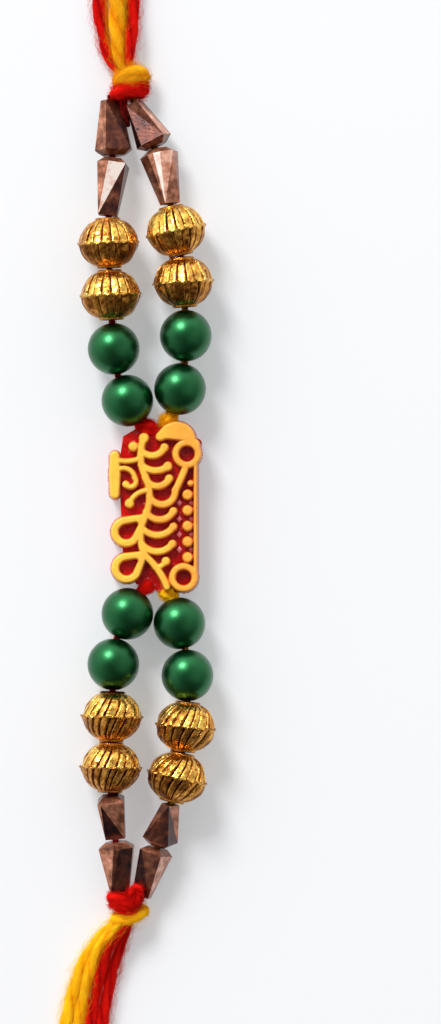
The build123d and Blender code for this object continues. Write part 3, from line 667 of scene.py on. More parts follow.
# Half profile from ridge to hole: share of half the length, share of the radius, share of flute depth
gold_profile = [(0.0, 1.0, 0.25), (0.03, 0.992, 0.4), (0.06, 0.972, 0.75), (0.12, 0.958, 1.0),
                (0.20, 0.942, 1.0), (0.30, 0.917, 1.0), (0.40, 0.885, 1.0), (0.50, 0.843, 1.0),
                (0.60, 0.79, 1.0), (0.69, 0.73, 1.0), (0.77, 0.66, 0.95), (0.84, 0.58, 0.85),
                (0.90, 0.49, 0.6), (0.93, 0.425, 0.3), (0.945, 0.405, 0.0), (0.965, 0.415, 0.0),
                (0.99, 0.41, 0.0), (1.025, 0.38, 0.0), (1.025, 0.22, 0.0), (0.97, 0.165, 0.0),
                (0.85, 0.161, 0.0)]
gold_rib_count = 20
# The upper beads have upright flutes. The lower ones have deeper, slanting flutes and a jagged ridge.
upright_flutes = {"slant": 0.0, "depth": 0.34, "ridge": 0.0}
slanting_flutes = {"slant": 20.0, "depth": 0.50, "ridge": 0.9}
# Each rib differs in height, tilt and bend, and so do the width and depth of its gap, and its stain
rib_ranges = {"size": (-0.14, 0.04), "tilt": (-0.42, 0.42), "bend": (-0.10, 0.10),
              "gap_shift": (-0.22, 0.22), "gap_depth": (0.55, 1.25), "stain": (-0.12, 0.16)}
rib_steps = (0.0, 0.05, 0.11, 0.19, 0.33, 0.5, 0.67, 0.81, 0.89, 0.95)
# The half of a bead that faces the near end of the table is darker, a painted shade, and some beads are more
# stained
facing_painted_shade = {1: -0.02, -1: 0.28}
bead_stain = {"gold_bead_top_left_outer": 0.12, "gold_bead_top_right_outer": -0.04,
              "gold_bead_top_left_inner": 0.04, "gold_bead_top_right_inner": 0.08}
# The collars get a light painted shade, and one bead's far collar is painted black as deep shade
collar_painted_shade = 0.35
black_collar_bead = "gold_bead_bottom_left_inner"
# Shares of a rib's width: half a gap, and the rib's slope down to it
gap_share, slope_share = 0.16, 0.2
# How far the rough moulding stands out and sinks in, in bumps and in finer crinkles
bump_height, crinkle_height = 0.09, 0.07
ridge_scallop = 0.17
ridge_half_width = 0.05
ridge_stand = 0.06


def fluted_bead(bead, flutes, seed):
    """A fluted bead with flat, uneven, tilted ribs, and its flute depth kept for the stain."""
    generator = np.random.default_rng(seed)
    segments = gold_rib_count * len(rib_steps)
    radius, half = gold_diameter / 2, gold_length / 2
    offset = Vector(generator.uniform(-50, 50, 3))
    roll, slant = math.radians(bead["roll"]), math.radians(flutes["slant"])
    build = bmesh.new()
    layer = build.verts.layers.float.new("groove")
    halves = []
    for side in (1, -1):
        rib = {trait: generator.uniform(low, high, gold_rib_count)
               for trait, (low, high) in rib_ranges.items()}
        phase = 0.5 if side < 0 else 0.0
        facing = side if bead["turn"][1][2] > 0 else -side
        # Painted shade on the half that faces the near end, plus this bead's own stain
        stain_and_painted_shade = facing_painted_shade[facing] + bead_stain.get(bead["name"], 0.0)
        rings = []
        for height, wide, depth in gold_profile:
            if height < 0.1:
                depth = max(depth, flutes["ridge"])
            ring = []
            for i in range(segments):
                n, step = divmod(i, len(rib_steps))
                after = (n + 1) % gold_rib_count
                across = rib_steps[step]
                start = n + rib["gap_shift"][n]
                turn_share = start + (n + 1 + rib["gap_shift"][after] - start) * across + phase
                edge = min(across, 1 - across)
                gap = n if across < 0.5 else after
                groove = max(0.0, 1 - edge / gap_share) ** 1.4 * rib["gap_depth"][gap] * depth
                flat = min(1.0, edge / slope_share)
                swell = (rib["size"][n] + rib["tilt"][n] * (across - 0.5)
                         + rib["bend"][n] * math.cos(2.2 * math.pi * height)) * flat * depth
                angle = 2 * math.pi * turn_share / gold_rib_count + roll + slant * height * side
                direction = Vector((math.cos(angle), math.sin(angle), 0))
                spot = Vector((direction.x * 2.6, direction.y * 2.6, side * height * 2.2)) + offset
                crinkle = noise.noise(spot * 4.2)
                rough = (bump_height * noise.noise(spot) + crinkle_height * crinkle) * min(1.0, depth + 0.15)
                reach = radius * wide - flutes["depth"] * groove + swell + rough
                vertex = build.verts.new((direction * reach + Vector((0, 0, side * half * height))) / 1000)
                # The collars get painted shade, for the dark gaps between the beads
                collar = collar_painted_shade if depth == 0.0 else 0.0
                if collar and facing > 0 and bead["name"] == black_collar_bead:
                    collar = 1.0
                # Each rib's own stain, with the painted shade of its half
                stain = (rib["stain"][n] + stain_and_painted_shade) * flat * depth
                vertex[layer] = min(1.0, groove * 0.9 + collar + stain + max(0.0, -crinkle) * 0.7 * depth)
                ring.append(vertex)
            rings.append(ring)
        halves.append(rings)
    for side, rings in zip((1, -1), halves):
        for lower, upper in zip(rings, rings[1:]):
            for i in range(segments):
                k = (i + 1) % segments
                corners = (lower[i], lower[k], upper[k], upper[i])
                build.faces.new(corners if side > 0 else tuple(reversed(corners)))
    half_rib = len(rib_steps) // 2
    top = halves[0][0]
    bottom = [halves[1][0][(i - half_rib) % segments] for i in range(segments)]
    for i in range(segments):
        scallop = ridge_scallop * (1 - 2 * abs(rib_steps[i % len(rib_steps)] - 0.5) ** 1.5 * 2.8)
        reach = math.hypot(top[i].co.x, top[i].co.y) + ridge_stand / 1000
        for vertex, rise in ((top[i], ridge_half_width), (bottom[i], -ridge_half_width)):
            wide = math.hypot(vertex.co.x, vertex.co.y)
            vertex.co.x *= reach / wide
            vertex.co.y *= reach / wide
            vertex.co.z = (rise - scallop) / 1000
    first = halves[0][-1]
    last = [halves[1][-1][(i - half_rib) % segments] for i in range(segments)]
    for i in range(segments):
        k = (i + 1) % segments
        build.faces.new((bottom[i], bottom[k], top[k], top[i]))
        build.faces.new((first[i], first[k], last[k], last[i]))
    lay_along_hole(build, bead, bead["length"] / 2)
    return build


gold_plate = antique_gold_plate()
for bead in beads_of("gold"):
    name = bead["name"]
    flutes = slanting_flutes if "bottom" in name else upright_flutes
    build = fluted_bead(bead, flutes, 40 + bead["string"] * 7 + len(name))
    fit_piece(link_mesh(name + "_plated", build, [gold_plate]), name)


# Bronze beads. Pressed plastic crystals with a copper-bronze metal coat, slightly pitted: long
# triangular facets between a wide bevelled end and a narrow end.
def copper_bronze_coat():
    """Copper-bronze coat with fine pits: each facet's colour is a painted reflection, from near black to
    pinkish white.
    """
    # The coat is worn in blotches 1.6 mm across, and its pits are drawn 0.5 mm apart
    material = new_material("copper_bronze_coat")
    place = add_node(material, "ShaderNodeTexCoord", {})
    facet = add_node(material, "ShaderNodeAttribute", {"attribute_name": "facet"})
    blotches = add_node(material, "ShaderNodeTexNoise", {"Scale": 620.0, "Detail": 4.0, "Roughness": 0.62},
                        {"Vector": (place, "Object")})
    # The wear blotches are added to each facet's painted reflection, dark to bright, and together they set
    # the colour
    wear_and_painted_reflection = add_node(material, "ShaderNodeMath", {"operation": "ADD", 1: -0.50}, {0: (blotches, "Fac")})
    wear_and_painted_reflection = add_node(material, "ShaderNodeMath", {"operation": "ADD", "use_clamp": True},
                    {0: (wear_and_painted_reflection, "Value"), 1: (facet, "Fac")})
    colour = add_node(material, "ShaderNodeValToRGB",
                      {"stops": {0.0: "2a1416", 0.22: "5a2c1c", 0.42: "8a543a", 0.64: "cf8a6c",
                                 0.82: "f4bca2", 1.0: "fff0e4"}}, {"Fac": (wear_and_painted_reflection, "Value")})
    gloss = add_node(material, "ShaderNodeMapRange", {"To Min": 0.14, "To Max": 0.34},
                     {"Value": (blotches, "Fac")})
    pits = add_node(material, "ShaderNodeTexNoise", {"Scale": 2200.0, "Detail": 5.0, "Roughness": 0.75},
                    {"Vector": (place, "Object")})
    bump = add_node(material, "ShaderNodeBump", {"Strength": 0.6, "Distance": 0.00007},
                    {"Height": (pits, "Fac")})
    metal = add_node(material, "ShaderNodeMapRange",
                     {"From Min": 0.4, "From Max": 1.0, "To Min": 0.5, "To Max": 0.05},
                     {"Value": (wear_and_painted_reflection, "Value")})
    surface = add_node(material, "ShaderNodeBsdfPrincipled", {},
                       {"Base Color": (colour, "Color"), "Roughness": (gloss, "Result"),
                        "Metallic": (metal, "Result"), "Normal": (bump, "Normal")})
    add_node(material, "ShaderNodeOutputMaterial", {}, {"Surface": (surface, "BSDF")})
    return material


def apply_modifiers(piece):
    """Replace a piece's mesh by its mesh with the modifiers applied."""
    graph = bpy.context.evaluated_depsgraph_get()
    mesh = bpy.data.meshes.new_from_object(piece.evaluated_get(graph))
    piece.modifiers.clear()
    piece.data = mesh


# How each bead is cut, as seen from above and from left to right: the corners of its wide end and of
# its narrow end as shares of their radius, the order in which the facets step along the wide end (w)
# or the narrow end (n), and the painted reflection of each facet, from dark to bright. The hidden half is
# cut alike.
bronze_cuts = {
    "bronze_bead_top_left_inner": ((-0.84, -0.26, 0.63), (-0.95, 0.85), "wwnwn",
                                   (0.50, 0.98, 0.16, 0.24, 0.20)),
    "bronze_bead_top_left_outer": ((-0.97, -0.41, 0.90), (-0.95, -0.45), "wnwnw",
                                   (0.46, 0.40, 0.22, 0.10, 0.16)),
    "bronze_bead_top_right_inner": ((-0.99, -0.57, -0.28, 0.09, 0.77), (-0.95, -0.43), "wnwwwnw",
                                    (0.34, 0.25, 0.52, 0.98, 0.74, 0.50, 0.42)),
    "bronze_bead_top_right_outer": ((-0.97, -0.70, 0.62), (-0.80, 0.30), "wwnwn",
                                    (0.04, 0.20, 0.32, 0.62, 0.50)),
    "bronze_bead_bottom_left_inner": ((-0.72, -0.56, 0.66), (-0.97, 0.88), "wnwwn",
                                      (0.50, 0.05, 0.52, 0.34, 0.30)),
    "bronze_bead_bottom_left_outer": ((-0.93, -0.15, 0.14, 0.85), (-0.90, 0.80), "wwnwwn",
                                      (0.54, 0.36, 0.12, 0.16, 0.28, 0.28)),
    "bronze_bead_bottom_right_inner": ((-0.92, -0.53, 0.48), (-0.84, -0.10), "nwwwn",
                                       (0.22, 0.16, 0.13, 0.14, 0.54)),
    "bronze_bead_bottom_right_outer": ((-0.86, -0.74, 0.30), (-0.92, 0.68), "wnwwn",
                                       (0.08, 0.05, 0.25, 0.68, 0.50)),
}
# The bevels and the two ends get one middling painted reflection
bevel_painted_reflection = 0.34
bronze_hole_diameter = 1.1
facet_edge_width = 0.07
facet_edge_angle = 8


def faceted_bead(bead):
    """A crystal cut in triangles between its two ends, with the painted reflection of each facet kept."""
    length = bead["length"]
    axis = bead["turn"] @ Vector((0, 0, 1))
    across = Vector((0, 0, 1)).cross(axis).normalized()
    across = across if across.x > 0 else -across
    over = axis.cross(across)
    over = over if over.z > 0 else -over
    narrow_end = bead["entry"] + axis * length if bead["narrow_out"] else bead["entry"]
    towards = -axis if bead["narrow_out"] else axis
    wide_shares, narrow_shares, order, brightness = bronze_cuts[bead["name"]]
    build = bmesh.new()
    layer = build.faces.layers.float.new("facet")

    def ring(shares, diameter, distance):
        half = [across * share + over * math.sqrt(1 - share ** 2) for share in shares]
        middle = narrow_end + towards * distance
        return [build.verts.new((middle + corner * (diameter / 2)) / 1000)
                for corner in half + [-corner for corner in half]]

    def facet(corners, bright):
        build.faces.new(corners)[layer] = bright

    narrow = ring(narrow_shares, bronze_narrow_diameter, 0.0)
    wide = ring(wide_shares, bronze_wide_diameter, length - bronze_bevel_height)
    bevel_end = ring(wide_shares, bronze_end_diameter, length)
    i, j = 0, 0
    # Each facet gets its painted reflection from the cut's list
    for step, bright in zip(order * 2, brightness * 2):
        corners = [wide[i % len(wide)], narrow[j % len(narrow)]]
        if step == "w":
            i += 1
            corners.insert(1, wide[i % len(wide)])
        else:
            j += 1
            corners.insert(1, narrow[j % len(narrow)])
        facet(corners, bright)
    for i in range(len(wide)):
        k = (i + 1) % len(wide)
        facet((wide[i], bevel_end[i], bevel_end[k], wide[k]), bevel_painted_reflection)
    facet(bevel_end, bevel_painted_reflection)
    facet(narrow, bevel_painted_reflection)
    bmesh.ops.recalc_face_normals(build, faces=build.faces)
    return build


def hole_cutter(bead):
    """The drill for a bead's hole, 1 mm longer than the bead at each end."""
    radius, start, end = bronze_hole_diameter / 2, -1, bead["length"] + 1
    drill = turned_shape([(radius, start), (radius, end), (0.001, end), (0.001, start)], 24)
    bmesh.ops.recalc_face_normals(drill, faces=drill.faces)
    lay_along_hole(drill, bead, 0)
    return link_mesh("drill", drill, [])


bronze_coat = copper_bronze_coat()
for bead in beads_of("bronze"):
    piece = link_mesh(bead["name"] + "_coated", faceted_bead(bead), [bronze_coat], smooth=False)
    cutter = hole_cutter(bead)
    hole = piece.modifiers.new("hole", "BOOLEAN")
    hole.object = cutter
    hole.operation = "DIFFERENCE"
    edges = piece.modifiers.new("edges", "BEVEL")
    edges.width = facet_edge_width / 1000
    edges.segments = 2
    edges.limit_method = "ANGLE"
    edges.angle_limit = math.radians(facet_edge_angle)
    apply_modifiers(piece)
    bpy.data.objects.remove(cutter)
    fit_piece(piece, bead["name"])


# Threads. The same yarn carries the beads: red through the left string and orange through the right.
# It is squeezed thin in the holes and swells to a loose fuzzy bundle where it enters the motif.
thread_colours = {"left": "red", "right": "yellow"}
thread_width = 1.0
thread_ring_spacing = 0.3
thread_fibres_per_mm = 14
thread_fibre_lift = 0.6
thread_twist_length = 4.0
# Along its length each thread is darkened with painted shade, seen in the gaps between the beads; it fades
# out where the thread swells to its bundles
gap_painted_shade = {"left": 1.35, "right": 1.8}
bundle_width = {("top", "left"): 2.6, ("top", "right"): 2.4,
                ("bottom", "left"): 1.9, ("bottom", "right"): 2.6}
bundle_length = 1.3
bundle_flatness = 0.6
clean_swell = 0.8
length_in_knot = 0.6


def thread_line(side):
    """The points of a thread from its top knot to its bottom one, with each end inside its knot."""
    points = []
    for end in ("top", "bottom"):
        half = list(strings[end, side][0])
        half[-1] = half[-1] + (half[-1] - half[-2]).normalized() * length_in_knot
        points += list(reversed(half)) if end == "top" else half
    return [tuple(p) for p in points]


for side, colour in thread_colours.items():
    line = route_line(thread_line(side), thread_ring_spacing)
    widths = np.full(len(line), thread_width)
    for end in ("top", "bottom"):
        mouth, start = strings[end, side][0][:2]
        swell = np.exp(-((line[:, 1] * 1000 - (mouth.y + start.y) / 2) / bundle_length) ** 2)
        widths = widths + (bundle_width[end, side] - thread_width) * swell
    swollen = np.clip((widths - thread_width) / clean_swell, 0, 1)
    heights = thread_width + bundle_flatness * (widths - thread_width)
    piece = yarn_piece(f"thread_{side}_yarn", line, (0, 0, 1), widths, heights, colour, thread_fibres_per_mm,
                       500 + len(side), thread_twist_length, stand_off=thread_fibre_lift,
                       painted_shade=gap_painted_shade[side] * (1 - swollen))
    fit_piece(piece, f"thread_{side}")


# Each thread is frayed to a tuft between the motif and its first bead. It starts over the plate's edge,
# is thickest in the middle, and goes down into the bead.
tuft_ring_spacing = 0.16
tuft_fibres_per_mm = 170
tuft_least_width = 0.6
tuft_flatness = 0.6
tuft_twist_length = 9.0
tuft_overlap = 1.5
tuft_edge_rise, tuft_mouth_rise, tuft_middle_rise = 1.2, 1.1, 0.7
for (end, side), width in bundle_width.items():
    mouth, start = strings[end, side][0][:2]
    over_edge = mouth - (start - mouth).normalized() * tuft_overlap + Vector((0, 0, tuft_edge_rise))
    above_mouth = mouth + Vector((0, 0, tuft_mouth_rise))
    middle = (mouth + start) / 2 + Vector((0, 0, tuft_middle_rise))
    line = route_line([tuple(p) for p in (over_edge, above_mouth, middle, start)], tuft_ring_spacing)
    taper = np.sin(np.linspace(0.25, math.pi - 0.35, len(line)))
    widths = tuft_least_width + (width - tuft_least_width) * taper
    colour = thread_colours[side]
    piece = yarn_piece(f"thread_{side}_tuft_{end}", line, (0, 0, 1), widths, widths * tuft_flatness, colour,
                       tuft_fibres_per_mm, 540 + int(width * 10), tuft_twist_length, plies=5, stand_off=0.7,
                       lump_depth=0.05)
    fit_piece(piece, f"thread_{side}")


# Motif plate. Soft red plastic, moulded in one piece with the ornament and wet-glossy in its hollows.
# It stays as the part has it, and only gets its material.
def glossy_soft_plastic(name, colours, ripple_height, roughness, wall_painted_shade=None):
    """Soft glossy plastic: a wet shine on slow ripples, lighter towards the left, and painted shade
    darkening it down its walls.
    """
    # Its clouds are 4 mm across and its ripples 1 mm
    material = new_material(name)
    place = add_node(material, "ShaderNodeTexCoord", {})
    clouds = add_node(material, "ShaderNodeTexNoise", {"Scale": 260.0, "Detail": 4.0},
                      {"Vector": (place, "Object")})
    across = add_node(material, "ShaderNodeSeparateXYZ", {}, {"Vector": (place, "Object")})
    tone = add_node(material, "ShaderNodeMath", {"operation": "MULTIPLY_ADD", 1: -28.0},
                    {0: (across, "X"), 2: (clouds, "Fac")})
    pigment = add_node(material, "ShaderNodeValToRGB", {"stops": {0.3: colours[0], 0.7: colours[1]}},
                       {"Fac": (tone, "Value")})
    colour = (pigment, "Color")
    # Painted shade: down the walls the colour goes towards a dark red-orange
    if wall_painted_shade:
        rise = add_node(material, "ShaderNodeAttribute", {"attribute_name": "rise"})
        painted_wall_shade = add_node(material, "ShaderNodeMix", {"data_type": "RGBA", 6: linear(wall_painted_shade)},
                             {0: (rise, "Fac"), 7: colour})
        colour = (painted_wall_shade, "Result")
    ripples = add_node(material, "ShaderNodeTexNoise", {"Scale": 900.0, "Detail": 3.0},
                       {"Vector": (place, "Object")})
    bump = add_node(material, "ShaderNodeBump", {"Strength": 1.0, "Distance": ripple_height},
                    {"Height": (ripples, "Fac")})
    surface = add_node(material, "ShaderNodeBsdfPrincipled",
                       {"Roughness": roughness, "Specular IOR Level": 0.28, "Subsurface Weight": 0.15,
                        "Subsurface Scale": 0.0005, "Subsurface Radius": (1.0, 0.35, 0.12)},
                       {"Base Color": colour, "Normal": (bump, "Normal")})
    add_node(material, "ShaderNodeOutputMaterial", {}, {"Surface": (surface, "BSDF")})
    return material


red_plastic = glossy_soft_plastic("red_soft_plastic", ("940002", "c80c04"), 0.00045, 0.20)
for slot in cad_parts["motif_ground"].material_slots:
    slot.material = red_plastic


# Motif ornament. The raised vine, rings and dots are the yellow plastic of the same moulding, with
# soft round edges. It is made as a height map over the plate from its drawn strokes, in millimetres
# from the motif's middle, or as shares of half its width and length.
plate_top = 4.2
relief_rise = 1.4
relief_grid = 0.1
edge_round = 0.36
# Each stroke of the vine: its start, middle and end, its width, and the width of the bud at its end
relief_strokes = [
    ((0.24, -0.93), (0.06, -0.74), (-0.22, -0.57), 1.25, 0),
    ((-0.22, -0.57), (-0.32, -0.34), (-0.22, -0.11), 1.25, 0),
    ((-0.22, -0.11), (-0.13, 0.12), (-0.22, 0.35), 1.25, 0),
    ((-0.22, 0.35), (-0.32, 0.57), (-0.25, 0.80), 1.25, 1.7),
    ((-0.30, 0.65), (0.00, 0.60), (0.19, 0.69), 1.25, 1.45),
    ((-0.31, 0.49), (0.02, 0.42), (0.26, 0.47), 1.25, 1.6),
    ((-0.22, 0.33), (0.08, 0.24), (0.29, 0.33), 1.25, 1.4),
    ((-0.13, 0.12), (0.20, 0.03), (0.42, 0.19), 1.25, 0),
    ((0.42, 0.19), (0.52, 0.30), (0.64, 0.46), 1.25, 0),
    ((-0.20, -0.06), (0.10, -0.15), (0.38, -0.05), 1.25, 1.4),
    ((-0.30, -0.24), (0.04, -0.33), (0.38, -0.23), 1.25, 1.4),
    ((-0.30, -0.43), (0.02, -0.52), (0.36, -0.43), 1.25, 1.4),
    ((-0.02, -0.70), (0.10, -0.69), (0.22, -0.63), 1.0, 1.5),
    ((-0.30, 0.57), (-0.58, 0.53), (-0.86, 0.55), 1.0, 0),
    ((-0.84, 0.42), (-0.60, 0.44), (-0.45, 0.34), 1.0, 0),
    ((-0.45, 0.34), (-0.48, 0.24), (-0.64, 0.26), 1.0, 1.3),
    ((-0.15, 0.19), (-0.40, 0.15), (-0.56, 0.04), 1.0, 1.6),
]
grid_x = np.arange(-7.4, 7.4 + relief_grid / 2, relief_grid)
grid_y = np.arange(-13.4, 13.4 + relief_grid / 2, relief_grid)
map_x, map_y = np.meshgrid(grid_x, grid_y, indexing="ij")
far_away = 1e3


def share_point(point):
    """A point in millimetres, from its shares of half the motif's width and length."""
    return np.array([point[0] * motif_half_width, point[1] * motif_half_height])


def disc(centre, radius):
    """Distance to a disc, negative inside, as the other shapes have it."""
    return np.hypot(map_x - centre[0], map_y - centre[1]) - radius


def tapered_bar(first, second, first_radius, second_radius):
    """Distance to the hull of two discs, close enough for gentle tapers."""
    first, second = np.array(first, float), np.array(second, float)
    along = second - first
    share = ((map_x - first[0]) * along[0] + (map_y - first[1]) * along[1]) / (along @ along)
    lean = (second_radius - first_radius) / math.sqrt(along @ along)
    near = np.hypot(map_x - first[0] - share * along[0], map_y - first[1] - share * along[1])
    share = np.clip(share + lean * near / math.sqrt(along @ along), 0, 1)
    return (np.hypot(map_x - first[0] - share * along[0], map_y - first[1] - share * along[1])
            - (first_radius + share * (second_radius - first_radius)))


def arc_points(start, middle, end, count=28):
    """Points on the circle through three points."""
    a, b, c = share_point(start), share_point(middle), share_point(end)
    d = 2 * (a[0] * (b[1] - c[1]) + b[0] * (c[1] - a[1]) + c[0] * (a[1] - b[1]))
    aa, bb, cc = a @ a, b @ b, c @ c
    centre = np.array([(aa * (b[1] - c[1]) + bb * (c[1] - a[1]) + cc * (a[1] - b[1])) / d,
                       (aa * (c[0] - b[0]) + bb * (a[0] - c[0]) + cc * (b[0] - a[0])) / d])
    radius = np.linalg.norm(a - centre)
    angles = [math.atan2(*(p - centre)[::-1]) for p in (a, b, c)]
    full = 2 * math.pi
    sweep_middle = (angles[1] - angles[0]) % full
    sweep_end = (angles[2] - angles[0]) % full
    if sweep_middle > sweep_end:
        sweep_end -= full
    turns = angles[0] + np.linspace(0, sweep_end, count)
    return np.column_stack([centre[0] + radius * np.cos(turns), centre[1] + radius * np.sin(turns)])


def polyline(points, half_width):
    """Distance to a stroke with round ends along a run of points."""
    nearest = np.full(map_x.shape, far_away)
    for first, second in zip(points, points[1:]):
        along = second - first
        share = ((map_x - first[0]) * along[0] + (map_y - first[1]) * along[1]) / (along @ along)
        share = np.clip(share, 0, 1)
        nearest = np.minimum(nearest, np.hypot(map_x - first[0] - share * along[0],
                                               map_y - first[1] - share * along[1]))
    return nearest - half_width


def inside_polygon(points):
    """Signed distance to a closed polygon, negative inside."""
    closed = np.vstack([points, points[:1]])
    distance = polyline(closed, 0.0)
    inside = np.zeros(map_x.shape, bool)
    for (ax, ay), (bx, by) in zip(closed, closed[1:]):
        crosses = (ay > map_y) != (by > map_y)
        with np.errstate(divide="ignore", invalid="ignore"):
            at = (bx - ax) * (map_y - ay) / (by - ay) + ax
        inside ^= crosses & (map_x < at)
    return np.where(inside, -distance, distance)


def fuse(a, b, softness=0.18):
    """Union with a small fillet in the corner."""
    blend = np.clip(0.5 + 0.5 * (b - a) / softness, 0, 1)
    return b * (1 - blend) + a * blend - softness * blend * (1 - blend)


# The vine and its buds
shape = np.full(map_x.shape, far_away)
for start, middle, end, width, bud in relief_strokes:
    shape = fuse(shape, polyline(arc_points(start, middle, end), width / 2))
    if bud:
        shape = fuse(shape, disc(share_point(end), bud / 2))
# Two hollow leaves at the lower left
for belly, tip in (((-0.62, -0.71), (-0.24, -0.55)), ((-0.63, -0.29), (-0.22, -0.12))):
    belly, tip = share_point(belly), share_point(tip)
    blade = tapered_bar(belly, tip, 2.41, 0.6)
    hollow = tapered_bar(belly, belly + (tip - belly) * 0.5, 1.05, 0.25)
    shape = np.minimum(shape, np.maximum(blade, -hollow))
    shape = np.maximum(shape, -hollow)
# The bar at the left edge, and the bead above it
side_bar = share_point((-0.875, 0.37))
for half_length in (2.9, -2.9):
    shape = fuse(shape, tapered_bar(side_bar, side_bar + np.array([0, half_length]), 0.96, 0.84))
shape = fuse(shape, disc(share_point((-0.48, 0.70)), 0.825))
# The crescent cap over the upper ring
cap_over = arc_points((0.03, 0.79), (0.39, 0.9885), (0.86, 0.74))
cap_under = arc_points((0.86, 0.74), (0.44, 0.775), (0.03, 0.79))
cap = inside_polygon(np.vstack([cap_over, cap_under[1:-1]]))
cap = fuse(cap, disc(share_point((0.10, 0.815)), 0.62), 0.5)
shape = fuse(shape, cap - 0.1, 0.4)
# The rail at the right edge, and the ring at each end of it
ring_outer, ring_hole = 2.2, 1.1
upper_ring = np.array([motif_half_width - 0.15 - ring_outer, 0.615 * motif_half_height])
lower_ring = np.array([motif_half_width - 0.65 - ring_outer, -motif_half_height + 0.15 + ring_outer])
rail_x = 0.80 * motif_half_width
rail_half_width = 0.38
rail = np.maximum(np.abs(map_x - rail_x - rail_half_width) - rail_half_width,
                  np.abs(map_y - (upper_ring[1] + lower_ring[1]) / 2) - (upper_ring[1] - lower_ring[1]) / 2)
shape = np.minimum(shape, rail)
# A broad neck joins the upper ring to the cap
shape = fuse(shape, tapered_bar(upper_ring, (5.75, 9.35), ring_outer, 1.1))
for centre in (upper_ring, lower_ring):
    shape = fuse(shape, disc(centre, ring_outer + 0.1))
    shape = np.maximum(shape, -disc(centre, ring_hole))
# The row of five dots beside the rail, and a small one above them
dot_radius, small_dot_radius, dot_spacing = 0.88, 0.575, 2.38
dot_x = rail_x + 0.06 - dot_radius
first_dot_y = 0.14 * motif_half_height
for i in range(5):
    shape = np.minimum(shape, disc((dot_x, first_dot_y - dot_spacing * i), dot_radius))
shape = np.minimum(shape, disc((dot_x + 0.45, first_dot_y + 1.75), small_dot_radius))

# Inside its outline the ornament rises in a quarter round, and outside a skirt drops into the plate
skirt_slope, skirt_width = 4.5, 0.17
depth_in = np.clip(-shape / edge_round, 0, 1)
rise = relief_rise * np.sqrt(np.clip(1 - (1 - depth_in) ** 2, 0, 1))
rise = np.where(shape > 0, -skirt_slope * shape, rise)
keep = shape < skirt_width
build = bmesh.new()
layer = build.verts.layers.float.new("rise")
vertex_at = {}
for i in range(len(grid_x) - 1):
    for j in range(len(grid_y) - 1):
        if not keep[i:i + 2, j:j + 2].all():
            continue
        corners = []
        for a, b in ((i, j), (i + 1, j), (i + 1, j + 1), (i, j + 1)):
            if (a, b) not in vertex_at:
                height = plate_top + float(rise[a, b])
                vertex_at[a, b] = build.verts.new((grid_x[a] / 1000, grid_y[b] / 1000, height / 1000))
                vertex_at[a, b][layer] = min(1.0, max(0.0, float(rise[a, b]) / relief_rise)) ** 1.5
            corners.append(vertex_at[a, b])
        build.faces.new(corners)
# The ornament's walls get painted shade in dark red-orange
yellow_plastic = glossy_soft_plastic("yellow_soft_plastic", ("fbac42", "ffc94a"), 0.00012, 0.24, "c4380a")
# Pale pink for the painted highlight on the points beside the dots
painted_glint_pink = glossy_soft_plastic("painted_glint_plastic", ("ff8088", "ffb0b4"), 0.00006, 0.30)
# Small points of the plate stand at both sides of the row of dots, pale pink as a painted highlight
point_width, point_length, point_rise, point_sink = 0.48, 0.576, 0.6, 0.05
for point_x in (3.58, 5.44):
    for point_y in (0.65, -1.81, -4.16, -6.47):
        foot = [build.verts.new(((point_x + across) / 1000, (point_y + along) / 1000,
                                 (plate_top - point_sink) / 1000))
                for across, along in ((point_width, 0), (0, point_length),
                                      (-point_width, 0), (0, -point_length))]
        tip = build.verts.new((point_x / 1000, point_y / 1000, (plate_top + point_rise) / 1000))
        for a in range(4):
            build.faces.new((foot[a], foot[(a + 1) % 4], tip)).material_index = 1
ornament = link_mesh("motif_ornament", build, [yellow_plastic, painted_glint_pink])
fit_piece(ornament, "motif_relief")


# Table and light. A white sheet, a soft light above the far end a little to the left, and a broader,
# weaker fill from overhead at the right that softens the shadows.
studio_white = "fdfdff"
light_distance = 2.0
sheet_gap = 0.02


def white_sheet():
    """A clean, evenly lit white sheet. It glows a little, as a light table does, so shadows stay pale."""
    # Its tone drifts slowly, in patches 170 mm across
    material = new_material("white_sheet")
    place = add_node(material, "ShaderNodeTexCoord", {})
    tone = add_node(material, "ShaderNodeTexNoise", {"Scale": 6.0, "Detail": 2.0},
                    {"Vector": (place, "Object")})
    colour = add_node(material, "ShaderNodeMix",
                      {"data_type": "RGBA", 6: linear("c3c4c5"), 7: linear("c6c7c8")}, {0: (tone, "Fac")})
    surface = add_node(material, "ShaderNodeBsdfPrincipled",
                       {"Roughness": 0.9, "Specular IOR Level": 0.1, "Emission Strength": 0.59},
                       {"Base Color": (colour, "Result"), "Emission Color": (colour, "Result")})
    add_node(material, "ShaderNodeOutputMaterial", {}, {"Surface": (surface, "BSDF")})
    return material


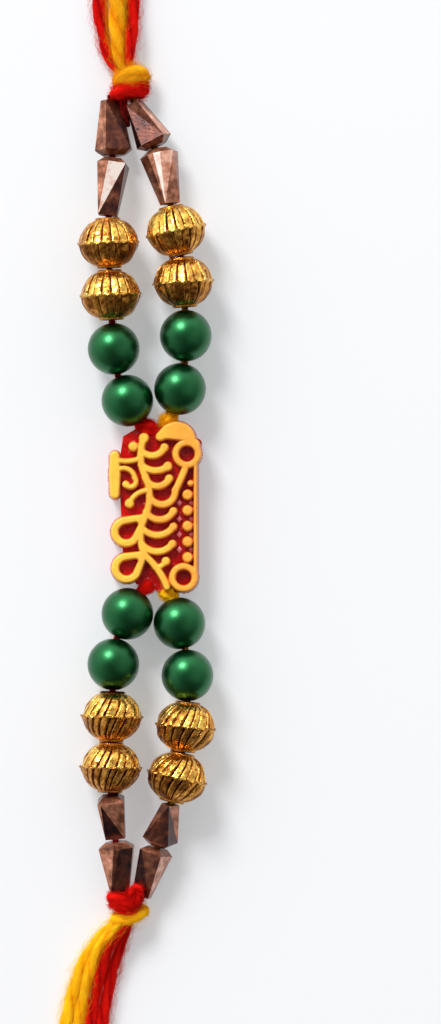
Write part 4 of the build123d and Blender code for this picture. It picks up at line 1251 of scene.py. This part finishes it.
build = bmesh.new()
bmesh.ops.create_grid(build, x_segments=1, y_segments=1, size=3.0)
table = link_mesh("table", build, [white_sheet()])
table.location.z = -sheet_gap / 1000


def soft_light(name, towards, size, strength):
    """A square light of a size in metres, that far away in a direction, facing the motif."""
    data = bpy.data.lights.new(name, "AREA")
    data.shape = "RECTANGLE"
    data.size = size
    data.size_y = size
    data.energy = strength
    data.color = linear(studio_white)[:3]
    light = bpy.data.objects.new(name, data)
    direction = Vector(towards).normalized()
    light.location = direction * light_distance
    light.rotation_euler = direction.to_track_quat("Z", "Y").to_euler()
    bpy.context.scene.collection.objects.link(light)


soft_light("key_light", (-0.35, 0.69, 0.63), 0.64, 37.0)
soft_light("right_fill", (0.55, -0.05, 0.83), 1.8, 3.4)

# The room: bright low down beyond the far end and at the left, dark overhead and at the near end
world = bpy.data.worlds.new("studio")
world.use_nodes = True
world.node_tree.nodes.clear()
heading = add_node(world, "ShaderNodeTexCoord", {})
parts = add_node(world, "ShaderNodeSeparateXYZ", {}, {"Vector": (heading, "Generated")})
far_and_left = add_node(world, "ShaderNodeMath", {"operation": "MULTIPLY_ADD", 1: -0.35},
                        {0: (parts, "X"), 2: (parts, "Y")})
side_light = add_node(world, "ShaderNodeMapRange",
                      {"From Min": -1.0, "From Max": 1.0, "To Min": 0.04, "To Max": 1.6},
                      {"Value": (far_and_left, "Value")})
overhead = add_node(world, "ShaderNodeMapRange",
                    {"interpolation_type": "SMOOTHSTEP", "From Min": 0.45, "From Max": 0.97,
                     "To Min": 1.0, "To Max": 0.28}, {"Value": (parts, "Z")})
brightness = add_node(world, "ShaderNodeMath", {"operation": "MULTIPLY"},
                      {0: (side_light, "Result"), 1: (overhead, "Result")})
level = add_node(world, "ShaderNodeMath", {"operation": "MULTIPLY", 1: 0.98}, {0: (brightness, "Value")})
background = add_node(world, "ShaderNodeBackground", {"Color": linear(studio_white)},
                      {"Strength": (level, "Value")})
add_node(world, "ShaderNodeOutputWorld", {}, {"Surface": (background, "Background")})
bpy.context.scene.world = world
bpy.context.scene.view_settings.view_transform = "Standard"
